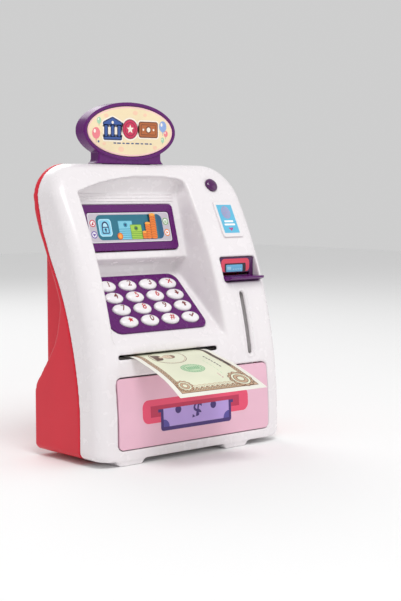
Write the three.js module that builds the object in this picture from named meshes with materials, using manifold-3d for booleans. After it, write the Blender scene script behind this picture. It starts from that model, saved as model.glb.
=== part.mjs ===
// Toy cash machine savings bank: a thin wedge-shaped moulded case with an oval sign on top, a recessed bay
// with a printed screen and sixteen oval keys, a motor-driven note slot, a coin slot, a card mouth and a
// cash drawer. Millimetres, +Z up, front towards -Y.
// Case coordinates used below: x to the right, y from the foot of the front face to the back, z from the
// lower edge of the case. The last lines place them over the feet and round the object's own middle.
import * as THREE from 'three';
import { mergeVertices } from 'three/addons/utils/BufferGeometryUtils.js';
import Module from 'manifold-3d';

const wasm = await Module();
wasm.setup();

// ---------------------------------------------------------------- driving dimensions
const WIDTH = 168;
const DEPTH = 74;
const HEIGHT = 197.4;
const WALL = 2.4;
const GAP = 0.3; // between pieces that rest on each other
const FIT = 0.1; // round a shaft in its bearing
const RUN = 0.5; // round a drawer, key or knob that moves in its opening
const EDGE_R = 9; // upright front corners
const TOP_R = 24; // upper corners, seen from the front
const LOW_R = 5; // lower corners, seen from the front
const BROW_R = 4; // edge between the front face and the top
const FOOT = 3.8; // height of the moulded feet
const FRONT_R = 325; // the front face is vertical, then leans back along this arc
const FRONT_Z = 12; // height where the lean starts
const RISE = 12; // levels between the lower and the upper corners

const HALF = WIDTH / 2;

// ---------------------------------------------------------------- solids from three.js geometry
function solid(geometry) {
  const bare = geometry.index ? geometry.toNonIndexed() : geometry.clone();
  bare.deleteAttribute('normal');
  bare.deleteAttribute('uv');
  const merged = mergeVertices(bare, 1e-4);
  const vertProperties = merged.attributes.position.array;
  const triVerts = new Uint32Array(merged.index.array);
  return new wasm.Manifold(new wasm.Mesh({ numProp: 3, vertProperties, triVerts }));
}

function geometryOf(body) {
  const made = body.getMesh();
  const corners = new Float32Array(made.numVert * 3);
  for (let i = 0; i < made.numVert; i++) {
    corners.set(made.vertProperties.subarray(i * made.numProp, i * made.numProp + 3), i * 3);
  }
  const geometry = new THREE.BufferGeometry();
  geometry.setAttribute('position', new THREE.BufferAttribute(corners, 3));
  geometry.setIndex(new THREE.BufferAttribute(made.triVerts, 1));
  return geometry;
}

const X = new THREE.Vector3(1, 0, 0);
const Y = new THREE.Vector3(0, 1, 0);
const Z = new THREE.Vector3(0, 0, 1);
const ALONG_X = new THREE.Matrix4().makeBasis(Y, Z, X);
const ALONG_Y = new THREE.Matrix4().makeBasis(X, Z, Y.clone().negate());

function extruded(shape, depth, arc, steps = 1) {
  return new THREE.ExtrudeGeometry(shape, { depth, steps, bevelEnabled: false, curveSegments: arc });
}

// A (y, z) outline along x, an (x, z) outline along y, and an (x, y) outline along z.
const prismX = (shape, x0, x1, arc = 6) => solid(extruded(shape, x1 - x0, arc).applyMatrix4(ALONG_X).translate(x0, 0, 0));
const prismY = (shape, y0, y1, arc = 6) => solid(extruded(shape, y1 - y0, arc).applyMatrix4(ALONG_Y).translate(0, y1, 0));
const prismZ = (shape, z0, z1, arc = 6) => solid(extruded(shape, z1 - z0, arc).translate(0, 0, z0));

function box(x0, x1, y0, y1, z0, z1) {
  const geometry = new THREE.BoxGeometry(x1 - x0, y1 - y0, z1 - z0);
  return solid(geometry.translate((x0 + x1) / 2, (y0 + y1) / 2, (z0 + z1) / 2));
}

function rodX(radius, x0, x1, y, z, sides = 16) {
  const geometry = new THREE.CylinderGeometry(radius, radius, x1 - x0, sides).rotateZ(-Math.PI / 2);
  return solid(geometry.translate((x0 + x1) / 2, y, z));
}

function rodY(radius, y0, y1, x, z, sides = 16) {
  const geometry = new THREE.CylinderGeometry(radius, radius, y1 - y0, sides);
  return solid(geometry.translate(x, (y0 + y1) / 2, z));
}

function rodZ(radius, z0, z1, x, y, sides = 16) {
  const geometry = new THREE.CylinderGeometry(radius, radius, z1 - z0, sides).rotateX(Math.PI / 2);
  return solid(geometry.translate(x, y, (z0 + z1) / 2));
}

const union = (...bodies) => bodies.reduce((sum, next) => sum.add(next));
const cut = (body, ...tools) => tools.reduce((rest, tool) => rest.subtract(tool), body);
const moved = (body, matrix) => body.transform(matrix.elements);

// Rounded rectangle, with one radius or four: lower left, lower right, upper right, upper left.
function plate(x0, x1, y0, y1, radius) {
  const [a, b, c, d] = Array.isArray(radius) ? radius : [radius, radius, radius, radius];
  const shape = new THREE.Shape();
  shape.moveTo(x0 + a, y0);
  shape.lineTo(x1 - b, y0);
  shape.absarc(x1 - b, y0 + b, b, -Math.PI / 2, 0);
  shape.lineTo(x1, y1 - c);
  shape.absarc(x1 - c, y1 - c, c, 0, Math.PI / 2);
  shape.lineTo(x0 + d, y1);
  shape.absarc(x0 + d, y1 - d, d, Math.PI / 2, Math.PI);
  shape.lineTo(x0, y0 + a);
  shape.absarc(x0 + a, y0 + a, a, Math.PI, Math.PI * 1.5);
  return shape;
}

function oval(x, y, width, height) {
  return new THREE.Shape().absellipse(x, y, width / 2, height / 2, 0, Math.PI * 2);
}

const polygon = (points) => new THREE.Shape(points.map(([u, v]) => new THREE.Vector2(u, v)));

// Moves every edge of a polygon outwards by the same distance; the points run anticlockwise.
function grown(points, distance) {
  const edges = points.map((p, i) => {
    const q = points[(i + 1) % points.length];
    const length = Math.hypot(q[0] - p[0], q[1] - p[1]);
    const along = [(q[0] - p[0]) / length, (q[1] - p[1]) / length];
    return { from: [p[0] + along[1] * distance, p[1] - along[0] * distance], along };
  });
  return edges.map((edge, i) => {
    const before = edges[(i + edges.length - 1) % edges.length];
    const cross = before.along[0] * edge.along[1] - before.along[1] * edge.along[0];
    const [dx, dy] = [edge.from[0] - before.from[0], edge.from[1] - before.from[1]];
    const t = (dx * edge.along[1] - dy * edge.along[0]) / cross;
    return [before.from[0] + before.along[0] * t, before.from[1] + before.along[1] * t];
  });
}

// ---------------------------------------------------------------- the outline of the case
// Distance of the front face behind its foot, at a height.
function frontY(z) {
  const up = Math.max(0, z - FRONT_Z);
  return FRONT_R - Math.sqrt(FRONT_R * FRONT_R - up * up);
}

const leanAt = (z) => Math.asin(Math.max(0, z - FRONT_Z) / FRONT_R);

// The seam between the white front shell and the red rear shell, as points of height and depth.
const SEAM = new THREE.SplineCurve(
  [[0, 23], [38, 23.8], [73, 30.3], [107, 41.7], [145, 60.4], [165, 67.4], [180, 70], [HEIGHT, 70.4]]
    .map(([z, y]) => new THREE.Vector2(z, y)),
).getPoints(70);

function seamY(height) {
  const z = Math.min(height, SEAM.at(-1).x);
  const next = Math.max(1, SEAM.findIndex((p) => p.x >= z));
  const [a, b] = [SEAM[next - 1], SEAM[next]];
  return a.y + ((b.y - a.y) * (z - a.x)) / (b.x - a.x);
}

// Half the width of the case at a height, with its rounded upper and lower corners.
function halfWidth(z, inset) {
  const [upper, lower] = [TOP_R - inset, Math.max(0.5, LOW_R - inset)];
  const over = Math.max(0, z - (HEIGHT - TOP_R));
  const under = Math.max(0, inset + lower - z);
  const shy = upper - Math.sqrt(Math.max(0, upper * upper - over * over));
  return HALF - inset - shy - (lower - Math.sqrt(Math.max(0, lower * lower - under * under)));
}

// The heights of the case's cross-sections: close together where its corners turn.
function levels(inset) {
  const [upper, lower] = [TOP_R - inset, Math.max(0.5, LOW_R - inset)];
  const heights = [];
  for (let i = 0; i < 3; i++) heights.push(inset + lower * (1 - Math.cos((i * Math.PI) / 6)));
  const [from, to] = [inset + lower, HEIGHT - TOP_R];
  for (let i = 0; i < RISE; i++) heights.push(from + ((to - from) * i) / RISE);
  for (let i = 0; i <= 6; i++) heights.push(to + upper * Math.sin((i * Math.PI) / 12));
  return heights;
}

// A block with the case's outline, taken in by an inset, from the front face to a surface backY(z).
function caseBlock(inset, backY, radius = EDGE_R - inset) {
  const half = HALF - inset;
  const section = new THREE.Shape();
  section.moveTo(-half, 2 * DEPTH);
  section.lineTo(-half, radius);
  section.absarc(-half + radius, radius, radius, Math.PI, Math.PI * 1.5);
  section.absarc(half - radius, radius, radius, Math.PI * 1.5, Math.PI * 2);
  section.lineTo(half, 2 * DEPTH);
  const heights = levels(inset);
  const steps = heights.length - 1;
  const geometry = extruded(section, steps, 4, steps);
  const p = geometry.attributes.position;
  for (let i = 0; i < p.count; i++) {
    const z = heights[Math.round(p.getZ(i))];
    const brow = Math.max(0, z - (HEIGHT - BROW_R));
    const round = BROW_R - Math.sqrt(Math.max(0, BROW_R * BROW_R - brow * brow));
    const face = frontY(z) + inset + round;
    const corner = Math.min(1, (backY(z) - face - 0.6) / radius); // less round where the case is thin
    const y = p.getY(i) > DEPTH ? backY(z) : face + p.getY(i) * corner;
    p.setXYZ(i, p.getX(i) - Math.sign(p.getX(i)) * (half - halfWidth(z, inset)), y, z);
  }
  return solid(geometry);
}

// The case seen from the front, as an (x, z) outline.
function caseOutline(inset) {
  const [low, top] = [Math.max(0.5, LOW_R - inset), TOP_R - inset];
  return plate(-HALF + inset, HALF - inset, inset, HEIGHT - inset, [low, low, top, top]);
}

// ---------------------------------------------------------------- the bay, its screen and its keypad
const BAY = { left: -66.5, right: 33, draft: 0.1 };
const KEYPAD = { y: 13.8, z: 82, tilt: THREE.MathUtils.degToRad(42.3), run: 57.9 };
const SCREEN = { y: 46.5, z: 131, tilt: THREE.MathUtils.degToRad(74.4) };
const CEILING = { z: 178, y: 59.6 };
const ARCH = { x: 0.5, z: 188.8, r: 210, corner: 6, y: 54.6 };
const OUTSIDE = -12;

const keypadFrame = new THREE.Matrix4().makeRotationX(KEYPAD.tilt).setPosition(0, KEYPAD.y, KEYPAD.z);
const screenFrame = new THREE.Matrix4().makeRotationX(SCREEN.tilt).setPosition(0, SCREEN.y, SCREEN.z);
const faceFrame = (x, z) => new THREE.Matrix4().makeRotationX(Math.PI / 2 - leanAt(z)).setPosition(x, frontY(z), z);

const slope = Math.tan(KEYPAD.tilt);
const keypadEnd = [KEYPAD.y + KEYPAD.run * Math.cos(KEYPAD.tilt), KEYPAD.z + KEYPAD.run * Math.sin(KEYPAD.tilt)];
const BAY_SIDE = [
  [OUTSIDE, KEYPAD.z - (KEYPAD.y - OUTSIDE) * slope],
  keypadEnd,
  [keypadEnd[0] + 1.4, SCREEN.z - 4.5],
  [SCREEN.y, SCREEN.z],
  [CEILING.y, CEILING.z],
  [OUTSIDE, CEILING.z],
];

// A (y, z) outline along x whose sides close in with depth behind the front face.
function drafted(points, x0, x1) {
  const geometry = extruded(polygon(points), x1 - x0, 1).applyMatrix4(ALONG_X).translate(x0, 0, 0);
  const p = geometry.attributes.position;
  for (let i = 0; i < p.count; i++) {
    const shy = BAY.draft * (p.getY(i) - frontY(p.getZ(i)));
    p.setX(i, p.getX(i) + (p.getX(i) < (x0 + x1) / 2 ? shy : -shy));
  }
  return solid(geometry);
}

// The arched top of the bay, from the front back to its sloping ceiling.
function archCut(growth) {
  const [left, right] = [BAY.left - growth, BAY.right + growth];
  const radius = ARCH.r + growth;
  const centre = ARCH.z - ARCH.r;
  const angleAt = (x) => Math.acos((x - ARCH.x) / radius);
  const shape = new THREE.Shape();
  shape.moveTo(left, CEILING.z - 2);
  shape.lineTo(right, CEILING.z - 2);
  const end = centre + radius * Math.sin(angleAt(right - ARCH.corner));
  shape.lineTo(right, end - ARCH.corner);
  shape.quadraticCurveTo(right, end - 1, right - ARCH.corner, end);
  shape.absarc(ARCH.x, centre, radius, angleAt(right - ARCH.corner), angleAt(left), false);
  const back = [
    [OUTSIDE, CEILING.z - 3],
    [CEILING.y, CEILING.z - 3],
    [CEILING.y, CEILING.z],
    [ARCH.y, ARCH.z + 1],
    [ARCH.y, HEIGHT],
    [OUTSIDE, HEIGHT],
  ];
  return prismY(shape, OUTSIDE, DEPTH, 12).intersect(prismX(polygon(grown(back, growth)), left - 1, right + 1));
}

const bayCut = union(drafted(BAY_SIDE, BAY.left, BAY.right), archCut(0));
const bayWall = union(drafted(grown(BAY_SIDE, WALL), BAY.left - WALL, BAY.right + WALL), archCut(WALL));

const KEY = { width: 15, height: 9.6, dome: 3.4, shoulder: 0.9, spaceX: 3.4, spaceY: 1.6, travel: 1.2 };
const KEY_FIRST = { x: -42.7, y: 44.3 }; // the key at the upper left, in the keypad's plane
const PITCH = { x: KEY.width + KEY.spaceX, y: KEY.height + KEY.spaceY };
const PANEL = {
  x0: KEY_FIRST.x - KEY.width / 2 - 9.3,
  x1: KEY_FIRST.x + 3 * PITCH.x + KEY.width / 2 + 4.5,
  y0: KEY_FIRST.y - 3 * PITCH.y - KEY.height / 2 - 4.3,
  y1: KEY_FIRST.y + KEY.height / 2 + 4.9,
  corner: 7,
  proud: 0.8,
  sunk: 1.2,
};
const FLANGE = { border: 0.8, top: 1.7, thick: 1.2 };
const BEZEL = { x0: -58, x1: 25, y0: 6.2, y1: 39.2, corner: 3, frame: 4.5, sill: 5.4, proud: 1, back: 2.1, sunk: 0.4 };
const RIBS = [41.6, 44, 46.4]; // fine steps across the bay above the screen

// ---------------------------------------------------------------- what opens in the front face
const DRAWER = { x0: -HALF + 15.5, x1: HALF - 14, z0: 6.6, z1: 55, corner: 4, travel: 30 };
const NOTE_SLOT = { x0: -64, x1: 24.3, z: 68.2, height: 2.2 };
const COIN_SLOT = { x: 55.5, width: 3, z0: 62, z1: 106, rim: 1.6, proud: 0.6 };
const CARD = { x0: 42, x1: 77.3, z0: 113, z1: 130.8, y: 24.5, back: 2.4, shelf: 117, slot: 27, mouth: 2, reach: 6.6 };
const LENS = { x: 56.5, z: 182.5, r: 5.2, stem: 4 };
const PAD = { x: 61.1, z: 157.8, width: 20.2, height: 29, proud: 0.8, sunk: 0.9 };
const SIGN = { x: -9.5, z: 220.6, width: 82.5, height: 41, y0: 59.5, y1: 70.5, rim: 2.6, neck: 62.5, flare: 3.2, tab: 40 };

const SCREW = { x: HALF - 8, low: 20, high: 172, head: 3, shank: 1.5, seat: DEPTH - 5, end: DEPTH - 26, post: DEPTH - 16.4 };
const RAIL = { x: 50, half: 1.5, top: 7.1 };
const FOOT_PADS = { front: [-57.5, 37.8], back: [-57.5, 57.5], half: 9.4, flare: 3.8, y0: 0.8, y1: 14, y2: DEPTH - 17, y3: DEPTH - 4 };
const FRAME_POST = { z: 60, r: 2.4 };
const FEED = { left: -63, right: 36.3, plate: 2, y0: 16, z0: 55, z1: 76 };

function foot(x, y0, y1) {
  const flare = FOOT_PADS.half + FOOT_PADS.flare;
  const shape = polygon([[x - FOOT_PADS.half, -FOOT], [x + FOOT_PADS.half, -FOOT], [x + flare, 0.6], [x - flare, 0.6]]);
  return prismY(shape, y0, y1);
}

function frontShell() {
  const outer = caseBlock(0, (z) => seamY(z) - GAP / 2);
  const inner = caseBlock(WALL, (z) => seamY(z) + 10);
  const cardPocket = box(CARD.x0 - WALL, CARD.x1 + WALL, 0, CARD.y + CARD.back, CARD.z0 - WALL, CARD.z1 + WALL);
  // the bay reaches back past the seam, into the rear shell
  const room = caseBlock(WALL + RUN, () => DEPTH - WALL - RUN);
  const bay = union(bayWall.intersect(outer), bayWall.intersect(room));
  let shell = union(outer.subtract(inner), bay, cardPocket.intersect(outer));
  // posts for the case screws, rails for the drawer and posts for the feed frame
  const underSkin = caseBlock(WALL / 2, () => DEPTH);
  for (const side of [-1, 1]) {
    for (const z of [SCREW.low, SCREW.high]) {
      shell = shell.add(rodY(3.6, frontY(z), SCREW.post, side * SCREW.x, z).intersect(underSkin));
      shell = shell.subtract(rodY(SCREW.shank + GAP, SCREW.end - 1, SCREW.post + 1, side * SCREW.x, z));
    }
    shell = shell.add(box(side * RAIL.x - RAIL.half, side * RAIL.x + RAIL.half, 4, seamY(0) - GAP / 2, 1, RAIL.top));
  }
  for (const x of [FEED.left + 1, FEED.right + 1]) {
    shell = shell.add(rodY(FRAME_POST.r, frontY(FRAME_POST.z) + 1, FEED.y0 - GAP, x, FRAME_POST.z, 12));
  }
  for (const x of FOOT_PADS.front) shell = shell.add(foot(x, FOOT_PADS.y0, FOOT_PADS.y1));
  // the raised rim of the coin slot
  const rimShape = plate(
    COIN_SLOT.x - COIN_SLOT.width / 2 - COIN_SLOT.rim,
    COIN_SLOT.x + COIN_SLOT.width / 2 + COIN_SLOT.rim,
    COIN_SLOT.z0 - COIN_SLOT.rim,
    COIN_SLOT.z1 + COIN_SLOT.rim,
    3,
  );
  const skin = caseBlock(-COIN_SLOT.proud, (z) => frontY(z) + 2);
  shell = shell.add(prismY(rimShape, -5, DEPTH, 4).intersect(skin));
  const slot = plate(COIN_SLOT.x - COIN_SLOT.width / 2, COIN_SLOT.x + COIN_SLOT.width / 2, COIN_SLOT.z0, COIN_SLOT.z1, 1.4);
  shell = cut(
    shell,
    bayCut,
    prismY(slot, OUTSIDE, frontY(COIN_SLOT.z1) + 2 * WALL, 3),
    prismY(plate(DRAWER.x0, DRAWER.x1, DRAWER.z0, DRAWER.z1, DRAWER.corner), OUTSIDE, 10, 4),
    box(NOTE_SLOT.x0, NOTE_SLOT.x1, OUTSIDE, 12, NOTE_SLOT.z - NOTE_SLOT.height / 2, NOTE_SLOT.z + NOTE_SLOT.height / 2),
    box(CARD.x0, CARD.x1, OUTSIDE, CARD.y + 4, CARD.z0, CARD.z1),
    moved(rodZ(LENS.stem + GAP, -6, 6, 0, 0, 20), faceFrame(LENS.x, LENS.z)),
    moved(prismZ(plate(-PAD.width / 2, PAD.width / 2, -PAD.height / 2, PAD.height / 2, 2), -PAD.sunk - GAP, 5, 3),
      faceFrame(PAD.x, PAD.z)),
  );
  // the sunk seat and the window of the keypad, and the seat of the screen's bezel
  const seat = plate(PANEL.x0 - GAP, PANEL.x1 + GAP, PANEL.y0 - GAP, PANEL.y1 + GAP, PANEL.corner + GAP);
  const window = plate(PANEL.x0 + 3.5, PANEL.x1 - 3, PANEL.y0 + 3, PANEL.y1 - 3, PANEL.corner - 3);
  const bezel = plate(BEZEL.x0 - GAP, BEZEL.x1 + GAP, BEZEL.y0 - GAP, BEZEL.y1 + GAP, BEZEL.corner + GAP);
  shell = cut(
    shell,
    moved(prismZ(seat, -PANEL.sunk - GAP, 4, 5), keypadFrame),
    moved(prismZ(window, -WALL - 3, 4, 4), keypadFrame),
    moved(prismZ(bezel, -WALL - 3, 4, 4), screenFrame),
    ...RIBS.map((y) => moved(box(BAY.left + 3, BAY.right - 3, y, y + 1, -0.8, 1), screenFrame)),
  );
  for (const x of [PANEL.x0 + 2.2, PANEL.x1 - 2]) {
    for (const y of [PANEL.y0 + 10, PANEL.y1 - 10]) {
      shell = shell.add(moved(rodZ(1.2, GAP - BOARD.top, -2, x, y, 10), keypadFrame));
    }
  }
  // the slot in the top that takes the sign's tab
  const middle = (SIGN.y0 + SIGN.y1) / 2;
  const tab = box(SIGN.x - SIGN.tab / 2 - GAP, SIGN.x + SIGN.tab / 2 + GAP, middle - 2 - GAP, middle + 2 + GAP, HEIGHT - 6, HEIGHT + 2);
  return shell.subtract(tab);
}

// ---------------------------------------------------------------- rear shell
const BOX_HALF = HALF - 10.5; // half the width of the upright box that stands inside the two cheeks
const CHEEK = [
  [0, 176], [1.2, 165], [5.6, 153], [9.6, 145], [17.2, 130], [26.8, 110], [29.1, 99], [23.6, 77], [8, 55], [1, 46], [0, 38],
].map(([fromBack, z]) => [DEPTH - fromBack, z]); // the back edge of a cheek
const BACK = DEPTH - WALL - GAP; // what stands against the back wall ends here
const CELL = { r: 7.1, length: 50, space: 1.1, x0: -62, z: 65.2 };
const BATTERY = { ...CELL, y: DEPTH - 3 - CELL.r, pitch: 2 * CELL.r + CELL.space };
const BATTERY_BOX = {
  x0: BATTERY.x0 - 3,
  x1: BATTERY.x0 + BATTERY.length + 7,
  y0: BATTERY.y - BATTERY.r - 1.8,
  y1: BACK,
  z0: BATTERY.z - BATTERY.r - 1.8,
  z1: BATTERY.z + 2 * BATTERY.pitch + BATTERY.r + 1.8,
  wall: 1.4,
};
const COVER = {
  x0: BATTERY_BOX.x0 - 1,
  x1: BATTERY_BOX.x1 + 1,
  z0: BATTERY_BOX.z0 - 0.7,
  z1: BATTERY_BOX.z1 + 0.7,
  tabX: (BATTERY_BOX.x0 + BATTERY_BOX.x1) / 2,
  tabHalf: 6,
  tabTop: BATTERY_BOX.z1 + 7.7,
  screwZ: BATTERY_BOX.z1 + 3.8,
  thick: WALL - GAP,
};
const SPEAKER = { x: 54, z: 92, r: 16, y0: BACK - 8.9, y1: BACK };
const SWITCH = { x: 20, z: 140, half: 4.5, travel: 4.4 };
const MAIN_BOARD = { x0: -1, x1: 34, y0: BACK - 5.3, y1: BACK - 3.7, z0: 78, z1: 126 };

// Heights along the seam between two levels, from the top down; none where the edge is straight.
const between = (frontOf, low, high) => (frontOf(low) === frontOf(high) ? []
  : levels(0).filter((z) => z > low + 0.1 && z < high - 0.1).reverse());

// The two cheeks with their waisted back edges, as a (y, z) outline; shy pulls the back edge forwards.
function cheekShape(frontOf, shy, low, high) {
  const shape = new THREE.Shape();
  shape.moveTo(frontOf(low), low);
  shape.lineTo(CHEEK.at(-1)[0] - shy, low);
  shape.lineTo(CHEEK.at(-1)[0] - shy, CHEEK.at(-1)[1]);
  shape.splineThru(CHEEK.slice(0, -1).reverse().map(([y, z]) => new THREE.Vector2(y - shy, z)));
  shape.lineTo(CHEEK[0][0] - shy, high);
  shape.lineTo(frontOf(high), high);
  between(frontOf, low, high).forEach((z) => shape.lineTo(frontOf(z), z));
  return shape;
}

function boxShape(frontOf, back, low, high) {
  const points = [[frontOf(low), low], [back, low], [back, high], [frontOf(high), high]];
  return polygon([...points, ...between(frontOf, low, high).map((z) => [frontOf(z), z])]);
}

function rearShell() {
  const front = (z) => seamY(z) + GAP / 2;
  const open = () => 5;
  const cheeks = prismX(cheekShape(front, 0, 0, HEIGHT), -HALF, HALF, 4);
  const middle = prismX(boxShape(front, DEPTH, 0, HEIGHT), -BOX_HALF, BOX_HALF);
  const outer = union(cheeks, middle).intersect(prismY(caseOutline(0), 0, DEPTH + 1, 8));
  const hollowCheeks = prismX(cheekShape(open, WALL, WALL, HEIGHT - WALL), -HALF + WALL, HALF - WALL, 4);
  const hollowMiddle = prismX(boxShape(open, DEPTH - WALL, WALL, HEIGHT - WALL), -BOX_HALF + WALL, BOX_HALF - WALL);
  const inner = union(hollowCheeks, hollowMiddle).intersect(prismY(caseOutline(WALL), 0, DEPTH + 1, 8));
  let shell = outer.subtract(inner);
  for (const side of [-1, 1]) {
    for (const z of [SCREW.low, SCREW.high]) {
      const [x, bossEnd] = [side * SCREW.x, SCREW.post + GAP];
      shell = shell.add(rodY(4.6, bossEnd, DEPTH - 1, x, z));
      shell = cut(shell, rodY(SCREW.shank + GAP, bossEnd - 1, DEPTH, x, z), rodY(SCREW.head + GAP, SCREW.seat, DEPTH + 1, x, z));
    }
    const railStart = seamY(0) + GAP / 2;
    shell = shell.add(box(side * RAIL.x - RAIL.half, side * RAIL.x + RAIL.half, railStart, DEPTH - 1, 1, RAIL.top));
  }
  for (const x of FOOT_PADS.back) shell = shell.add(foot(x, FOOT_PADS.y2, FOOT_PADS.y3));
  // what holds the latch and the main board
  shell = shell.add(box(LATCH.x - 4, LATCH.x + 4, LATCH.y + LATCH.half + GAP, DEPTH - 1, LATCH.z0 + 4, LATCH.z1 - 4));
  for (const x of [MAIN_BOARD.x0 + 3, MAIN_BOARD.x1 - 3]) {
    for (const z of [MAIN_BOARD.z0 + 3, MAIN_BOARD.z1 - 3]) shell = shell.add(rodY(1.8, MAIN_BOARD.y1 + GAP, DEPTH - 1, x, z, 10));
  }
  shell = shell.add(rodY(3, DEPTH - 10, DEPTH - WALL + 0.5, COVER.tabX, COVER.screwZ, 12));
  const tabX0 = COVER.tabX - COVER.tabHalf;
  const tabX1 = COVER.tabX + COVER.tabHalf;
  const slots = [-2, -1, 0, 1, 2].map((row) => {
    const reach = [13, 12, 9][Math.abs(row)];
    const z = SPEAKER.z + row * 4.6;
    return prismY(plate(SPEAKER.x - reach, SPEAKER.x + reach, z - 1, z + 1, 0.9), DEPTH - 5, DEPTH + 1, 2);
  });
  return cut(
    shell,
    box(COVER.x0, COVER.x1, DEPTH - WALL - 1, DEPTH + 1, COVER.z0, COVER.z1),
    box(tabX0, tabX1, DEPTH - 2, DEPTH + 1, COVER.z1 - 1, COVER.tabTop),
    rodY(1.6, DEPTH - 11, DEPTH, COVER.tabX, COVER.screwZ, 12),
    prismY(plate(SWITCH.x - SWITCH.half - 2, SWITCH.x + SWITCH.half + 2, SWITCH.z - 4, SWITCH.z + 4, 1.5), DEPTH - 1.2, DEPTH + 1, 2),
    box(SWITCH.x - SWITCH.half, SWITCH.x + SWITCH.half, DEPTH - 5, DEPTH, SWITCH.z - 2, SWITCH.z + 2),
    ...slots,
  );
}

// ---------------------------------------------------------------- sign on top
function signOutline(shrink) {
  return oval(SIGN.x, SIGN.z, SIGN.width - 2 * shrink, SIGN.height - 2 * shrink);
}

function neckShape() {
  const [half, waist] = [SIGN.neck / 2, SIGN.neck / 2 - SIGN.flare];
  const [foot0, top] = [HEIGHT + GAP, SIGN.z - SIGN.height / 4];
  const shape = new THREE.Shape();
  shape.moveTo(SIGN.x - half, foot0);
  shape.lineTo(SIGN.x + half, foot0);
  shape.quadraticCurveTo(SIGN.x + waist, foot0 + 1.6, SIGN.x + waist, foot0 + 4);
  shape.lineTo(SIGN.x + waist, top);
  shape.lineTo(SIGN.x - waist, top);
  shape.lineTo(SIGN.x - waist, foot0 + 4);
  shape.quadraticCurveTo(SIGN.x - waist, foot0 + 1.6, SIGN.x - half, foot0);
  return shape;
}

const SIGN_BACK = 1.6;

// The hollow behind the sign's face, and the back plate that closes it.
function signHollow(shrink, y0, y1) {
  const half = SIGN.neck / 2 - SIGN.flare - shrink;
  const neck = box(SIGN.x - half, SIGN.x + half, y0, y1, HEIGHT + GAP + shrink, SIGN.z - SIGN.height / 4);
  return union(prismY(signOutline(shrink), y0, y1, 22), neck);
}

function signHousing() {
  const { y0, y1, rim, tab, x } = SIGN;
  const body = union(prismY(signOutline(0), y0, y1, 22), prismY(neckShape(), y0 + 1, y1, 5));
  const middle = (y0 + y1) / 2;
  const made = cut(body, signHollow(SIGN_BACK, y0 + 3.2, y1 + 1), prismY(signOutline(rim), y0 - 1, y0 + 1.5, 22));
  return made.add(box(x - tab / 2, x + tab / 2, middle - 2, middle + 2, HEIGHT - 4.6, HEIGHT + 3));
}

const signBack = () => signHollow(SIGN_BACK + GAP, SIGN.y1 - SIGN_BACK, SIGN.y1);

const signFace = () => prismY(signOutline(SIGN.rim + GAP), SIGN.y0 + 0.3, SIGN.y0 + 1.2, 22);

// ---------------------------------------------------------------- pieces in the keypad's and the screen's planes
const keySpots = [];
for (let row = 0; row < 4; row++) {
  for (let column = 0; column < 4; column++) {
    keySpots.push([KEY_FIRST.x + column * PITCH.x, KEY_FIRST.y - row * PITCH.y]);
  }
}

function keypadPanel() {
  const shape = plate(PANEL.x0, PANEL.x1, PANEL.y0, PANEL.y1, PANEL.corner);
  for (const [x, y] of keySpots) {
    shape.holes.push(new THREE.Path().absellipse(x, y, KEY.width / 2 + GAP, KEY.height / 2 + GAP, 0, Math.PI * 2));
  }
  return prismZ(shape, -PANEL.sunk, PANEL.proud, 8);
}

// A key: an oval dome with a flange that holds it under the panel.
function keyCap() {
  const sides = 16;
  const top = FLANGE.top;
  const profile = [[0, -top - FLANGE.thick], [1, -top - FLANGE.thick], [1, KEY.shoulder]];
  for (let i = 1; i <= 4; i++) {
    const turn = (i * Math.PI) / 8;
    profile.push([Math.cos(turn), KEY.shoulder + (KEY.dome - KEY.shoulder) * Math.sin(turn)]);
  }
  const points = profile.map(([r, z]) => new THREE.Vector2(r, z));
  points[points.length - 1].x = 0;
  const dome = new THREE.LatheGeometry(points, sides).rotateX(Math.PI / 2);
  dome.scale(KEY.width / 2, KEY.height / 2, 1);
  const flange = oval(0, 0, KEY.width + 2 * FLANGE.border, PITCH.y - 0.4);
  return union(solid(dome), prismZ(flange, -top - FLANGE.thick, -top, sides / 2));
}

const MAT = { top: 5.4, thick: 1, pad: 0.7 };
const BOARD = { top: 6.7, thick: 1.5 };
function keyMat() {
  const sheet = prismZ(plate(PANEL.x0 + 6, PANEL.x1 - 5.5, PANEL.y0 + 5, PANEL.y1 - 5, 2), -MAT.top - MAT.thick, -MAT.top, 2);
  return union(sheet, ...keySpots.map(([x, y]) => prismZ(oval(x, y, 7, 5), -MAT.top - 0.2, -MAT.top + MAT.pad, 5)));
}

const keypadBoard = () => prismZ(plate(PANEL.x0 + 1, PANEL.x1 - 1, PANEL.y0 + 1.4, PANEL.y1 - 1.4, 2),
  -BOARD.top - BOARD.thick, -BOARD.top, 2);

function screenBezel() {
  const { x0, x1, y0, y1, corner, frame, sill, proud, back, sunk } = BEZEL;
  const outer = prismZ(plate(x0, x1, y0, y1, corner), -back, proud, 4);
  return outer.subtract(prismZ(plate(x0 + frame, x1 - frame, y0 + sill, y1 - sill, 2), -sunk, proud + 1, 3));
}

function screenPanel() {
  const { x0, x1, y0, y1, frame, sill, sunk } = BEZEL;
  const side = frame + GAP;
  return prismZ(plate(x0 + side, x1 - side, y0 + sill + GAP, y1 - sill - GAP, 1.8), -sunk + GAP, -sunk + GAP + 0.7, 3);
}

// ---------------------------------------------------------------- front fittings
function cameraLens() {
  const { r, stem } = LENS;
  const points = [[0, -4], [stem, -4], [stem, 0.3], [r, 0.3], [r, 0.8]];
  for (let i = 1; i <= 4; i++) points.push([r * Math.cos((i * Math.PI) / 8), 0.8 + 2.2 * Math.sin((i * Math.PI) / 8)]);
  const profile = points.map(([radius, z]) => new THREE.Vector2(radius, z));
  profile[profile.length - 1].x = 0;
  return solid(new THREE.LatheGeometry(profile, 20).rotateX(Math.PI / 2));
}

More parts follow.
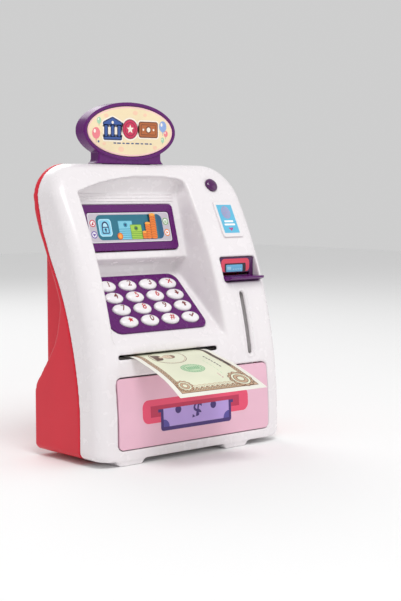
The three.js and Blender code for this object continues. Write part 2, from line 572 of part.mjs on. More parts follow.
const sensorPad = () => prismZ(plate(-PAD.width / 2 + GAP, PAD.width / 2 - GAP, -PAD.height / 2 + GAP, PAD.height / 2 - GAP, 1.8),
  -PAD.sunk, PAD.proud, 3);

function cardBezel() {
  const { x0, x1, z0, z1, y, back, shelf, slot, mouth } = CARD;
  const middle = (x0 + x1) / 2;
  const made = box(x0 + GAP, x1 - GAP, y, y + back - GAP, z0 + GAP, z1 - GAP);
  return made.subtract(box(middle - slot / 2, middle + slot / 2, y - 1, y + back + 1, shelf + 0.3, shelf + 0.3 + mouth));
}

// The shelf in the card mouth: flat on top, thin at its lip, with a round belly back to the case.
function cardLedge() {
  const { x0, x1, z0, y, shelf, reach } = CARD;
  const tip = frontY(shelf) - reach;
  const side = new THREE.Shape();
  side.moveTo(y - GAP, shelf);
  side.lineTo(tip + 0.6, shelf);
  side.quadraticCurveTo(tip - 0.4, shelf - 0.6, tip + 0.6, shelf - 1.4);
  side.quadraticCurveTo(tip + 7.5, z0 + 1.2, tip + 9.5, z0 + GAP);
  side.lineTo(y - GAP, z0 + GAP);
  const plan = plate(x0 + GAP, x1 - GAP, tip - 1, y, [5, 5, 0.4, 0.4]);
  return prismX(side, x0, x1, 5).intersect(prismZ(plan, z0 - 1, shelf + 1, 4));
}

// ---------------------------------------------------------------- coin chute
const CHUTE = { half: 2.5, wall: 1.5, y1: 41.5, z0: 53, z1: 110 };
function coinChute() {
  const { half, wall, y1, z0, z1 } = CHUTE;
  const [x, out] = [COIN_SLOT.x, half + wall];
  const inside = caseBlock(WALL + GAP, () => DEPTH);
  const block = box(x - out, x + out, 2, y1, z0, z1).intersect(inside);
  return block.subtract(box(x - half, x + half, 0, y1 - wall, z0 - 1, z1 - wall));
}

// ---------------------------------------------------------------- note feed: rollers, gears, motor and frame
const ROLLER = { y: 24, r: 5, pinchR: 4, shaft: 1.5, pinchShaft: 1.2, sleeves: [-46, -20.9, 4.2], sleeve: 6 };
const NOTE = { width: 66.3, x: -20.9, thick: 0.4, inside: 46, travel: 40 };
const DRIVE_Z = NOTE_SLOT.z - NOTE.thick / 2 - GAP - ROLLER.r;
const PINCH_Z = NOTE_SLOT.z + NOTE.thick / 2 + GAP + ROLLER.pinchR;
const GEAR = { module: 0.7, x0: 40, x1: 44, roller: 20, idler: 30, pinion: 10, backlash: 0.22 };
const pitchRadius = (teeth) => (GEAR.module * teeth) / 2;
const IDLER_TURN = THREE.MathUtils.degToRad(8);
const MOTOR_TURN = THREE.MathUtils.degToRad(-5);
const IDLER = {
  y: ROLLER.y + (pitchRadius(GEAR.roller) + pitchRadius(GEAR.idler)) * Math.cos(IDLER_TURN),
  z: DRIVE_Z + (pitchRadius(GEAR.roller) + pitchRadius(GEAR.idler)) * Math.sin(IDLER_TURN),
};
const MOTOR = {
  y: IDLER.y + (pitchRadius(GEAR.idler) + pitchRadius(GEAR.pinion)) * Math.cos(MOTOR_TURN),
  z: IDLER.z + (pitchRadius(GEAR.idler) + pitchRadius(GEAR.pinion)) * Math.sin(MOTOR_TURN),
  r: 10,
  flat: 7.5,
  x0: 14,
};

// Involute gear outline in (y, z); the first tooth points along the angle given.
function gearShape(teeth, pointing) {
  const pressure = THREE.MathUtils.degToRad(20);
  const pitch = pitchRadius(teeth);
  const base = pitch * Math.cos(pressure);
  const tip = pitch + 0.9 * GEAR.module;
  const root = pitch - 1.2 * GEAR.module;
  const spread = (radius) => {
    const a = Math.acos(Math.min(1, base / Math.max(base, radius)));
    return Math.tan(a) - a;
  };
  const half = Math.PI / (2 * teeth) - GEAR.backlash / (2 * pitch);
  const flank = [root, Math.max(base, root + 0.05), (pitch + base) / 2 + 0.2, tip]
    .map((radius) => [radius, half + spread(pitch) - spread(radius)]);
  const outline = [];
  for (let tooth = 0; tooth < teeth; tooth++) {
    const middle = pointing + (tooth * 2 * Math.PI) / teeth;
    for (const [radius, turn] of flank) outline.push([radius * Math.cos(middle - turn), radius * Math.sin(middle - turn)]);
    for (const [radius, turn] of [...flank].reverse()) {
      outline.push([radius * Math.cos(middle + turn), radius * Math.sin(middle + turn)]);
    }
  }
  return polygon(outline);
}

function gear(teeth, pointing, y, z, bore) {
  const shape = gearShape(teeth, pointing);
  if (bore) shape.holes.push(new THREE.Path().absarc(0, 0, bore, 0, Math.PI * 2));
  const geometry = extruded(shape, GEAR.x1 - GEAR.x0, 8).applyMatrix4(ALONG_X);
  return solid(geometry.translate(GEAR.x0, y, z));
}

// Each gear is turned so that a tooth of one faces a gap of the next.
const halfTooth = (teeth) => Math.PI / teeth;
const rollerGear = () => gear(GEAR.roller, IDLER_TURN, ROLLER.y, DRIVE_Z, ROLLER.shaft + FIT);
const IDLER_POINTING = IDLER_TURN + Math.PI + halfTooth(GEAR.idler);
const idlerGear = () => gear(GEAR.idler, IDLER_POINTING, IDLER.y, IDLER.z, ROLLER.shaft + FIT);
function motorPinion() {
  // where the idler's teeth stand at the pinion's side decides the pinion's turn
  const step = (2 * Math.PI) / GEAR.idler;
  const phase = ((MOTOR_TURN - IDLER_POINTING) / step) % 1;
  const pointing = MOTOR_TURN + Math.PI + halfTooth(GEAR.pinion) + (phase * 2 * Math.PI) / GEAR.pinion;
  const shaft = rodX(1, FEED.right - 1.5, GEAR.x1 + 1, MOTOR.y, MOTOR.z, 10);
  return union(gear(GEAR.pinion, pointing, MOTOR.y, MOTOR.z, 0), shaft);
}

function roller(radius, shaft, x0, x1, z) {
  const sleeves = ROLLER.sleeves.map((x) => rodX(radius, x - ROLLER.sleeve, x + ROLLER.sleeve, ROLLER.y, z, 24));
  return union(rodX(shaft, x0, x1, ROLLER.y, z, 12), ...sleeves);
}

const driveRoller = () => roller(ROLLER.r, ROLLER.shaft, FEED.left - 1.5, GEAR.x1 + 1.5, DRIVE_Z);
const pinchRoller = () => roller(ROLLER.pinchR, ROLLER.pinchShaft, FEED.left - 1.5, FEED.right + 3, PINCH_Z);

function feedFrame() {
  const { left, right, plate: thick, y0, z0, z1 } = FEED;
  const guideTop = NOTE_SLOT.z - 1.2;
  const guides = [[y0, ROLLER.y - ROLLER.r - 0.8], [ROLLER.y + ROLLER.r + 0.8, 36]];
  let frame = union(
    box(left, left + thick, y0, 36, z0, z1 + 2),
    box(right, right + thick, y0, MOTOR.y + MOTOR.r, z0, z1 + 2),
    ...guides.map(([a, b]) => box(left, right + thick, a, b, guideTop - 1.6, guideTop)),
    rodX(ROLLER.shaft, right, GEAR.x1 + 1, IDLER.y, IDLER.z, 12),
  );
  for (const x of [left, right]) {
    frame = frame.subtract(rodX(ROLLER.shaft + FIT, x - 1, x + thick + 1, ROLLER.y, DRIVE_Z, 16));
    frame = frame.subtract(rodX(ROLLER.pinchShaft + FIT, x - 1, x + thick + 1, ROLLER.y, PINCH_Z, 16));
  }
  return frame.subtract(rodX(2, right - 1, right + thick + 1, MOTOR.y, MOTOR.z, 14));
}

function feedMotor() {
  const { y, z, r, flat, x0 } = MOTOR;
  const can = rodX(r, x0, FEED.right - GAP, y, z, 28).intersect(box(x0 - 1, FEED.right, y - r, y + r, z - flat, z + flat));
  const boss = rodX(3, x0 - 1.4, x0 + 1, y, z, 14);
  return union(can, boss).subtract(rodX(1.3, FEED.right - 2, FEED.right + 1, y, z, 12));
}

// The note: flat between the rollers, then drooping out of the slot, a little askew, as (y, z) along its two edges.
const NOTE_LEFT = [[0, 67.4], [-7, 65.1], [-20, 60.6], [-32.5, 54.7], [-45.2, 46.6]];
const NOTE_RIGHT = [[0, 67.8], [-8.7, 65.4], [-25.2, 61], [-41.2, 55.2], [-56.9, 48.5]];

// One edge of the note as a closed (y, z) outline of the paper's thickness.
function noteEdge(droop) {
  const fall = new THREE.SplineCurve(droop.map(([y, z]) => new THREE.Vector2(y, z))).getPoints(12);
  const line = [new THREE.Vector2(NOTE.inside, NOTE_SLOT.z), new THREE.Vector2(6, NOTE_SLOT.z), ...fall];
  const half = NOTE.thick / 2;
  const normals = line.map((p, i) => {
    const [a, b] = [line[Math.max(0, i - 1)], line[Math.min(line.length - 1, i + 1)]];
    const along = b.clone().sub(a).normalize();
    return new THREE.Vector2(along.y, -along.x);
  });
  const upper = line.map((p, i) => [p.x + normals[i].x * half, p.y + normals[i].y * half]);
  const lower = line.map((p, i) => [p.x - normals[i].x * half, p.y - normals[i].y * half]).reverse();
  return [...upper, ...lower];
}

function playNote() {
  const [left, right] = [noteEdge(NOTE_LEFT), noteEdge(NOTE_RIGHT)];
  const geometry = extruded(polygon(left), NOTE.width, 1).applyMatrix4(ALONG_X).translate(NOTE.x - NOTE.width / 2, 0, 0);
  const p = geometry.attributes.position;
  for (let i = 0; i < p.count; i++) {
    if (p.getX(i) < NOTE.x) continue;
    const distances = left.map(([y, z]) => Math.hypot(p.getY(i) - y, p.getZ(i) - z));
    const [y, z] = right[distances.indexOf(Math.min(...distances))];
    p.setXYZ(i, p.getX(i), y, z);
  }
  return solid(geometry);
}

// ---------------------------------------------------------------- cash drawer and its lock
const TRAY = { x0: DRAWER.x0 + 4, x1: DRAWER.x1 - 4, y0: 3.8, y1: DEPTH - 10, z0: RAIL.top + GAP, z1: 50, wall: 1.6 };
const LATCH = { x: 54, y: DEPTH - 14, hole: 2.1, bolt: 1.6, z0: 58, z1: 74, half: 6, travel: 3.4 };

function drawerFront() {
  const shape = plate(DRAWER.x0 + RUN, DRAWER.x1 - RUN, DRAWER.z0 + RUN, DRAWER.z1 - RUN, DRAWER.corner - RUN);
  const skin = caseBlock(0, (z) => frontY(z) + WALL);
  return prismY(shape, OUTSIDE, 10, 4).intersect(skin);
}

function drawerTray() {
  const { x0, x1, y0, y1, z0, z1, wall } = TRAY;
  const front = caseBlock(WALL + GAP, () => DEPTH);
  const tub = box(x0, x1, y0 - 3, y1, z0, z1).intersect(front);
  const hollow = box(x0 + wall, x1 - wall, y0 + 3.2, y1 - wall, z0 + wall, z1 + 1);
  const keeper = box(LATCH.x - 4, LATCH.x + 4, LATCH.y - 4, y1 - 0.5, z1 - 5, z1);
  return cut(union(tub.subtract(hollow), keeper), rodZ(LATCH.hole, z1 - 6, z1 + 1, LATCH.x, LATCH.y, 14));
}

function latchSolenoid() {
  const { x, y, z0, z1, half, hole } = LATCH;
  const block = box(x - half, x + half, y - half, y + half, z0, z1);
  return block.subtract(rodZ(hole, z0 - 1, z1 - 3, x, y, 14));
}

const latchBolt = () => union(
  rodZ(LATCH.bolt, TRAY.z1 + 0.6, LATCH.z1 - 4, LATCH.x, LATCH.y, 14),
  rodZ(2.8, LATCH.z0 - 2.6, LATCH.z0 - 1.2, LATCH.x, LATCH.y, 14),
);

// The spring that pushes the unlocked drawer open, pressed flat against the back wall.
const SPRING = { x: 0, z: 30, r: 5, wire: 0.5, turns: 4, y0: TRAY.y1 + 0.9, y1: DEPTH - WALL - 0.9 };
function ejectSpring() {
  class Coil extends THREE.Curve {
    getPoint(t, target = new THREE.Vector3()) {
      const turn = t * SPRING.turns * 2 * Math.PI;
      const y = SPRING.y0 + (SPRING.y1 - SPRING.y0) * t;
      return target.set(SPRING.x + SPRING.r * Math.cos(turn), y, SPRING.z + SPRING.r * Math.sin(turn));
    }
  }
  const wire = new THREE.Shape().absarc(0, 0, SPRING.wire, 0, Math.PI * 2);
  const options = { steps: SPRING.turns * 11, curveSegments: 3, extrudePath: new Coil(), bevelEnabled: false };
  return solid(new THREE.ExtrudeGeometry(wire, options));
}

// ---------------------------------------------------------------- battery box, boards, speaker and switch
function batteryBox() {
  const { x0, x1, y0, y1, z0, z1, wall } = BATTERY_BOX;
  return box(x0, x1, y0, y1, z0, z1).subtract(box(x0 + wall, x1 - wall, y0 + wall, y1 + 1, z0 + wall, z1 - wall));
}

// A dry cell with its positive button; every other one is turned round.
function battery(index) {
  const { r, length, x0, y, z, pitch } = BATTERY;
  const height = z + index * pitch;
  const turned = index % 2 === 1;
  const shift = turned ? 3 : 0;
  const can = rodX(r, x0 + shift, x0 + shift + length - 1.2, y, height, 24);
  const end = turned ? x0 + shift - 1.2 : x0 + length - 1.4;
  return can.add(rodX(2.6, end, end + 1.5, y, height, 14));
}

function batteryCover() {
  const { x0, x1, z0, z1, tabX, tabHalf, tabTop, screwZ, thick } = COVER;
  const cover = union(
    box(x0 + GAP, x1 - GAP, DEPTH - thick, DEPTH, z0 + GAP, z1 - GAP),
    box(tabX - tabHalf + GAP, tabX + tabHalf - GAP, DEPTH - 1.7, DEPTH, z1 - 2, tabTop - GAP),
  );
  return cut(cover, rodY(1.6, DEPTH - 3, DEPTH + 1, tabX, screwZ, 12), rodY(2.8, DEPTH - 0.9, DEPTH + 1, tabX, screwZ, 16));
}

function screw(x, z, head, shank, seat, top, end) {
  const made = union(rodY(head, seat + GAP, top, x, z, 16), rodY(shank, end, seat + 1, x, z, 10));
  const drive = union(box(x - head * 0.6, x + head * 0.6, top - 0.5, top + 1, z - 0.3, z + 0.3),
    box(x - 0.3, x + 0.3, top - 0.5, top + 1, z - head * 0.6, z + head * 0.6));
  return made.subtract(drive);
}

function mainBoard() {
  const { x0: left, x1: right, y0, y1, z0: low, z1: high } = MAIN_BOARD;
  const board = box(left, right, y0, y1, low, high);
  const chips = [[6, 16, 96, 106, 2], [20, 30, 84, 92, 1.6], [4, 9, 112, 120, 3], [18, 24, 110, 116, 2.4]];
  return union(board, ...chips.map(([x0, x1, z0, z1, h]) => box(x0, x1, y0 - h, y0 + 0.4, z0, z1)));
}

function speaker() {
  const { x, z, r, y0, y1 } = SPEAKER;
  const depth = y1 - y0;
  const points = [[0, 0], [8, 0], [8, 4], [r - 1, depth - 2], [r, depth - 2], [r, depth], [r - 2, depth], [5, depth - 3], [0, depth - 2.4]];
  const profile = points.map(([radius, y]) => new THREE.Vector2(radius, y));
  return solid(new THREE.LatheGeometry(profile, 28).translate(x, y0, z));
}

const POWER = { y0: BACK - 7.8, y1: BACK };
const powerSwitch = () => cut(
  box(SWITCH.x - 8, SWITCH.x + 8, POWER.y0, POWER.y1, SWITCH.z - 4, SWITCH.z + 4),
  box(SWITCH.x - 5.4, SWITCH.x + 5.4, POWER.y1 - 3, POWER.y1 + 1, SWITCH.z - 2.2, SWITCH.z + 2.2),
);
const powerKnob = () => union(
  box(SWITCH.x - 4.1, SWITCH.x - 0.3, POWER.y1 - 2.4, DEPTH - 1, SWITCH.z - 1.6, SWITCH.z + 1.6),
  box(SWITCH.x - 4.1, SWITCH.x - 0.3, DEPTH - 1.1, DEPTH - 0.2, SWITCH.z - 1.6, SWITCH.z + 1.6),
);

// ---------------------------------------------------------------- colours and finishes
const paint = (color, roughness = 0.35, metalness = 0) => new THREE.MeshStandardMaterial({ color, roughness, metalness });
const WHITE = paint(0xf2eff0);
const RED = paint(0xd93847);
const PURPLE = paint(0x5f1a6b);
const DARK = paint(0x2c1033);
const PINK = paint(0xebc0cd);
const CREAM = paint(0xecdcbd, 0.5);
const GREY = paint(0xb9b6c0, 0.5);
const TRAY_WHITE = paint(0xe4e0e2);
const GREEN_BOARD = paint(0x2f6b45, 0.5);
const RUBBER = paint(0x4a4a4e, 0.8);
const STEEL = paint(0xb4b6ba, 0.3, 0.9);
const NYLON = paint(0xe9e6da, 0.5);
const BLACK = paint(0x232326, 0.5);
const CELL_GREEN = paint(0x3b7a57, 0.4);
const PAPER = paint(0xe6e2cf, 0.8);

// ---------------------------------------------------------------- the assembly
const bank = new THREE.Group();
const caseGroup = new THREE.Group();
bank.add(caseGroup);

function add(name, body, material, group = caseGroup) {
  const mesh = new THREE.Mesh(geometryOf(body), material);
  mesh.name = name;
  group.add(mesh);
  return mesh;
}

add('front_shell', frontShell(), WHITE);
add('rear_shell', rearShell(), RED);
add('sign_housing', signHousing(), PURPLE);
add('sign_back', signBack(), PURPLE);
add('sign_face', signFace(), CREAM);

const keypad = new THREE.Group();
keypad.rotation.x = KEYPAD.tilt;
keypad.position.set(0, KEYPAD.y, KEYPAD.z);
caseGroup.add(keypad);
add('keypad_panel', keypadPanel(), PURPLE, keypad);
add('key_mat', keyMat(), RUBBER, keypad);
add('keypad_board', keypadBoard(), GREEN_BOARD, keypad);
const KEY_NAMES = ['1', '2', '3', 'clear', '4', '5', '6', 'save', '7', '8', '9', 'draw', 'star', '0', 'hash', 'enter'];
keySpots.forEach(([x, y], i) => add(`key_${KEY_NAMES[i]}`, keyCap(), WHITE, keypad).position.set(x, y, 0));

const screen = new THREE.Group();
screen.rotation.x = SCREEN.tilt;
screen.position.set(0, SCREEN.y, SCREEN.z);
caseGroup.add(screen);
add('screen_bezel', screenBezel(), PURPLE, screen);
add('screen_panel', screenPanel(), GREY, screen);

function onFace(mesh, x, z) {
  mesh.rotation.x = Math.PI / 2 - leanAt(z);
  mesh.position.set(x, frontY(z), z);
}
onFace(add('camera_lens', cameraLens(), DARK), LENS.x, LENS.z);
onFace(add('sensor_pad', sensorPad(), WHITE), PAD.x, PAD.z);
add('card_bezel', cardBezel(), DARK);
add('card_ledge', cardLedge(), PURPLE);
add('coin_chute', coinChute(), TRAY_WHITE);

add('feed_frame', feedFrame(), TRAY_WHITE);
add('feed_motor', feedMotor(), STEEL);
add('drive_roller', driveRoller(), RUBBER);
add('roller_gear', rollerGear(), NYLON);
add('idler_gear', idlerGear(), NYLON);
add('motor_pinion', motorPinion(), NYLON);
add('pinch_roller', pinchRoller(), RUBBER);
add('play_note', playNote(), PAPER);

add('drawer_front', drawerFront(), PINK);
add('drawer_tray', drawerTray(), TRAY_WHITE);
add('latch_solenoid', latchSolenoid(), BLACK);
add('latch_bolt', latchBolt(), STEEL);
add('eject_spring', ejectSpring(), STEEL);

add('battery_box', batteryBox(), BLACK);
for (let i = 0; i < 3; i++) add(`battery_${i + 1}`, battery(i), CELL_GREEN);
add('battery_cover', batteryCover(), RED);
add('battery_cover_screw', screw(COVER.tabX, COVER.screwZ, 2.4, 1.3, DEPTH - 0.9, DEPTH, DEPTH - 9), STEEL);
add('main_board', mainBoard(), GREEN_BOARD);
add('speaker', speaker(), BLACK);
add('power_switch', powerSwitch(), BLACK);
add('power_knob', powerKnob(), BLACK);
for (const [name, side, z] of [['low_left', -1, SCREW.low], ['low_right', 1, SCREW.low], ['top_left', -1, SCREW.high],
  ['top_right', 1, SCREW.high]]) {
  add(`case_screw_${name}`, screw(side * SCREW.x, z, SCREW.head, SCREW.shank, SCREW.seat, SCREW.seat + 2.2, SCREW.end), STEEL);
}

// The origin is on the ground under the middle of the whole object, from the tip of the note to the back.
const extent = new THREE.Box3().setFromObject(bank);
caseGroup.position.set(0, -(extent.min.y + extent.max.y) / 2, FOOT);

export default bank;
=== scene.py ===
import math

import bmesh
import bpy
from mathutils import Matrix, Vector


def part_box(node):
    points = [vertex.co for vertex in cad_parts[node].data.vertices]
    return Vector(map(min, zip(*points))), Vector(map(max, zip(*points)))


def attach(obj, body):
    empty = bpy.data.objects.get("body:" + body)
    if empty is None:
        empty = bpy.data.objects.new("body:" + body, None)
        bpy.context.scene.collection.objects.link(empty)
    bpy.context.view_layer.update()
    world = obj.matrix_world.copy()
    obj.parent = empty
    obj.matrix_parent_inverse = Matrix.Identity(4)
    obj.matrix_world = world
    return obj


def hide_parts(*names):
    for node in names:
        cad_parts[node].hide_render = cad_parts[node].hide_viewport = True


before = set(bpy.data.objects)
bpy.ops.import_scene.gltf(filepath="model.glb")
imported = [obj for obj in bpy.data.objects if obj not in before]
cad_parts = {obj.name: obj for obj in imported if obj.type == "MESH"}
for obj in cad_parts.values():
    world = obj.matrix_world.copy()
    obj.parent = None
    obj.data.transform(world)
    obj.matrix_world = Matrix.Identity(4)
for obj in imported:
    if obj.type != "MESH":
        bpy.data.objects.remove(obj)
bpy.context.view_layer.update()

# ---------------------------------------------------------------- front shell
# The front half of the case: one glossy white ABS moulding with the bay, the slots
# and the front feet in it.
# Injection moulded, with generous rounded edges, and screwed to the rear shell from behind.
MM = 0.001
FOOT = 3.8
FRONT_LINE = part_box("front_shell")[0].y / MM
CASE = Matrix.Translation((0, FRONT_LINE * MM, FOOT * MM)) @ Matrix.Scale(MM,
        4)  # case millimetres to the frame
HALF, DEPTH, HEIGHT, WALL = 84.0, 74.0, 197.4, 2.4
EDGE_R, TOP_R, LOW_R, BROW_R = 9.0, 24.0, 5.0, 4.0
FRONT_R, FRONT_Z = 325.0, 12.0


def ink(red, green, blue):
    """A screen colour as the linear values a shader takes."""
    return tuple((c / 255 / 12.92) if c <= 10 else ((c / 255 + 0.055) / 1.055) ** 2.4
                 for c in (red, green, blue)) + (1.0,)


def plastic(name, colour, gloss=0.28, peel=0.05, tint=0.03, coat=0.15, shine=0.5):
    """Moulded plastic: faintly uneven colour and gloss over a very fine orange peel."""
    material = bpy.data.materials.new(name)
    material.use_nodes = True
    tree = material.node_tree
    shader = tree.nodes["Principled BSDF"]
    shader.inputs["Coat Weight"].default_value = coat
    shader.inputs["Coat Roughness"].default_value = 0.12
    shader.inputs["Specular IOR Level"].default_value = shine
    place = tree.nodes.new("ShaderNodeTexCoord")

    def noise(scale, detail):
        node = tree.nodes.new("ShaderNodeTexNoise")
        node.inputs["Scale"].default_value = scale
        node.inputs["Detail"].default_value = detail
        tree.links.new(place.outputs["Object"], node.inputs["Vector"])
        return node.outputs["Fac"]

    shade = tree.nodes.new("ShaderNodeValToRGB")
    shade.color_ramp.elements[0].position, shade.color_ramp.elements[1].position = 0.3, 0.7
    shade.color_ramp.elements[0].color = tuple(c * (1 - tint) for c in colour[:3]) + (1,)
    shade.color_ramp.elements[1].color = tuple(min(1, c * (1 + tint)) for c in colour[:3]) + (1,)
    tree.links.new(noise(35, 3), shade.inputs["Fac"])
    tree.links.new(shade.outputs["Color"], shader.inputs["Base Color"])
    rough = tree.nodes.new("ShaderNodeMapRange")
    rough.inputs["To Min"].default_value, rough.inputs["To Max"].default_value = gloss * 0.85, gloss * 1.2
    tree.links.new(noise(140, 4), rough.inputs["Value"])
    tree.links.new(rough.outputs["Result"], shader.inputs["Roughness"])
    bump = tree.nodes.new("ShaderNodeBump")
    bump.inputs["Strength"].default_value = peel
    bump.inputs["Distance"].default_value = 0.0002
    tree.links.new(noise(900, 2), bump.inputs["Height"])
    tree.links.new(bump.outputs["Normal"], shader.inputs["Normal"])
    return material


def front_y(z):
    up = max(0.0, z - FRONT_Z)
    return FRONT_R - math.sqrt(FRONT_R**2 - up**2)


SEAM = [(0, 23), (38, 23.8), (73, 30.3), (107, 41.7), (145, 60.4), (165, 67.4), (180, 70), (HEIGHT, 70.4)]


def seam_y(z):
    """Depth of the line where the front and the rear shell meet."""
    z = min(max(z, 0.0), HEIGHT)
    i = max(k for k in range(len(SEAM) - 1) if SEAM[k][0] <= z)
    (z0, y0), (z1, y1) = SEAM[i], SEAM[i + 1]
    y_before = SEAM[max(0, i - 1)][1]
    y_after = SEAM[min(len(SEAM) - 1, i + 2)][1]
    t = (z - z0) / (z1 - z0)
    return 0.5 * (2 * y0 + (y1 - y_before) * t + (2 * y_before - 5 * y0 + 4 * y1 - y_after) * t * t
                  + (3 * y0 - y_before - 3 * y1 + y_after) * t**3)


def half_width(z, inset):
    upper, lower = TOP_R - inset, max(0.5, LOW_R - inset)
    over, under = max(0.0, z - (HEIGHT - TOP_R)), max(0.0, inset + lower - z)
    return HALF - inset - (upper - math.sqrt(max(0.0, upper**2 - over**2))) - (lower - math.sqrt(max(0.0,
            lower**2 - under**2)))


def levels(inset, rise=44):
    """Heights of the case's cross-sections: close together where its corners turn."""
    upper, lower = TOP_R - inset, max(0.5, LOW_R - inset)
    start, end = inset + lower, HEIGHT - TOP_R
    return ([inset + lower * (1 - math.cos(i * math.pi / 12)) for i in range(6)]
            + [start + (end - start) * i / rise for i in range(rise)]
            + [end + upper * math.sin(i * math.pi / 32) for i in range(17)])


def case_block(inset, back):
    """A block with the outline of the case, taken in by an inset, back to the depth back(z)."""
    half, radius = HALF - inset, EDGE_R - inset
    bm = bmesh.new()
    ring = [bm.verts.new((x, y, 0)) for x, y in ((-half, 2 * DEPTH), (-half, 0), (half, 0),
                                                 (half, 2 * DEPTH))]
    bm.faces.new(ring)
    bmesh.ops.bevel(bm, geom=ring[1:3], offset=radius, segments=8, profile=0.5, affect="VERTICES",
                    material=-1)
    across, deep = bm.verts.layers.float.new("across"), bm.verts.layers.float.new("deep")
    for v in bm.verts:
        v[across], v[deep] = v.co.x, v.co.y
    top = bm.faces[:]
    for step, z in enumerate(levels(inset)):
        if step:
            made = bmesh.ops.extrude_face_region(bm, geom=top)["geom"]
            if step > 1:
                bmesh.ops.delete(bm, geom=top, context="FACES_ONLY")
            top = [f for f in made if isinstance(f, bmesh.types.BMFace)]
        brow = max(0.0, z - (HEIGHT - BROW_R))
        face = front_y(z) + inset + BROW_R - math.sqrt(max(0.0, BROW_R**2 - brow**2))
        corner = min(1.0, (back(z) - face - 0.6) / radius)
        for v in {v for f in top for v in f.verts}:
            shy = half - half_width(z, inset)
            y = back(z) if v[deep] > DEPTH else face + v[deep] * corner
            v.co = (v[across] - math.copysign(shy, v[across]), y, z)
    bmesh.ops.recalc_face_normals(bm, faces=bm.faces)
    return bm


def prism(outline, axis, low, high, soften=0.0, arc=6):
    """A flat outline, as (y, z), (x, z) or (x, y), drawn out along x, y or z."""
    bm = bmesh.new()
    lift = {"x": lambda u, v: (low, u, v), "y": lambda u, v: (u, low, v), "z": lambda u,
            v: (u, v, low)}[axis]
    ring = [bm.verts.new(lift(u, v)) for u, v in outline]
    bm.faces.new(ring)
    if soften:
        bmesh.ops.bevel(bm, geom=ring, offset=soften, segments=arc, profile=0.5, affect="VERTICES",
                        material=-1)
    made = bmesh.ops.extrude_face_region(bm, geom=bm.faces[:])["geom"]
    way = {"x": (high - low, 0, 0), "y": (0, high - low, 0), "z": (0, 0, high - low)}[axis]
    bmesh.ops.translate(bm, vec=way, verts=[g for g in made if isinstance(g, bmesh.types.BMVert)])
    bmesh.ops.recalc_face_normals(bm, faces=bm.faces)
    return bm


def oblong(u0, u1, v0, v1):
    return [(u0, v0), (u1, v0), (u1, v1), (u0, v1)]


def rod(radius, axis, low, high, u, v, segments=32, flat=1.0):
    """A round or oval bar along an axis; u and v are its place across it."""
    bm = bmesh.new()
    bmesh.ops.create_cone(bm, cap_ends=True, segments=segments, radius1=radius, radius2=radius,
                          depth=high - low)
    bmesh.ops.scale(bm, vec=(1, flat, 1), verts=bm.verts)
    middle = (low + high) / 2
    turn = {"x": Matrix.Rotation(math.pi / 2, 4, "Y"), "y": Matrix.Rotation(math.pi / 2, 4, "X"),
            "z": Matrix()}[axis]
    spot = {"x": (middle, u, v), "y": (u, middle, v), "z": (u, v, middle)}[axis]
    bmesh.ops.transform(bm, matrix=Matrix.Translation(spot) @ turn, verts=bm.verts)
    return bm


def together(*parts):
    """Several bmeshes as one, still separate shells."""
    whole = parts[0]
    for part in parts[1:]:
        spare = bpy.data.meshes.new("spare")
        part.to_mesh(spare)
        part.free()
        whole.from_mesh(spare)
        bpy.data.meshes.remove(spare)
    return whole


def loose(bm, name="loose"):
    mesh = bpy.data.meshes.new(name)
    bm.to_mesh(mesh)
    bm.free()
    thing = bpy.data.objects.new(name, mesh)
    bpy.context.scene.collection.objects.link(thing)
    return thing


def taken(thing, *others):
    """The mesh a loose object shows with its modifiers, as a bmesh; the loose objects go."""
    shown = thing.evaluated_get(bpy.context.evaluated_depsgraph_get())
    bm = bmesh.new()
    bm.from_mesh(shown.to_mesh())
    shown.to_mesh_clear()
    for old in (thing, *others):
        mesh = old.data
        bpy.data.objects.remove(old)
        bpy.data.meshes.remove(mesh)
    return bm


def worked(body, tool, operation):
    """One solid cut by, joined to or kept inside another."""
    thing, other = loose(body), loose(tool)
    step = thing.modifiers.new("work", "BOOLEAN")
    step.operation, step.solver, step.object, step.use_self = operation, "EXACT", other, True
    return taken(thing, other)


def moulded(bm, grain, rounds=4, faces=None, lips=None, lip_rounds=24):
    """Fuses solids into one skin of even grain and rounds its edges; lips(co) says where more."""
    thing = loose(bm)
    skin = thing.modifiers.new("skin", "REMESH")
    skin.mode, skin.voxel_size = "VOXEL", grain
    bm = taken(thing)
    thing = loose(bm)
    if lips:
        group = thing.vertex_groups.new(name="lips")
        for v in thing.data.vertices:
            weight = lips(v.co)
            if weight > 0.01:
                group.add([v.index], weight, "REPLACE")
        soft = thing.modifiers.new("lips", "SMOOTH")
        soft.factor, soft.iterations, soft.vertex_group = 0.5, lip_rounds, "lips"
    even = thing.modifiers.new("even", "SMOOTH")
    even.factor, even.iterations = 0.5, rounds
    triangles = sum(len(p.vertices) - 2 for p in thing.data.polygons)
    if faces and triangles > faces:
        thin = thing.modifiers.new("thin", "DECIMATE")
        thin.ratio = faces / triangles
    return taken(thing)


def piece(name, bm, materials, body, replaced=(), bevel=0.0, segments=3, smooth=40, place=CASE):
    """Puts a finished mesh in the frame, with its materials, its edges and the body that carries it."""
    bmesh.ops.transform(bm, matrix=place, verts=bm.verts)
    thing = loose(bm, name)
    thing.name = thing.data.name = name
    for material in materials if isinstance(materials, (list, tuple)) else [materials]:
        thing.data.materials.append(material)
    if bevel:
        edge = thing.modifiers.new("edge", "BEVEL")
        edge.width, edge.segments, edge.limit_method = bevel * MM, segments, "ANGLE"
        edge.angle_limit, edge.harden_normals = math.radians(smooth), True
    for polygon in thing.data.polygons:
        polygon.use_smooth = True
    thing.data.set_sharp_from_angle(angle=math.radians(smooth))
    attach(thing, body)
    if replaced:
        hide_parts(*replaced)
    return thing


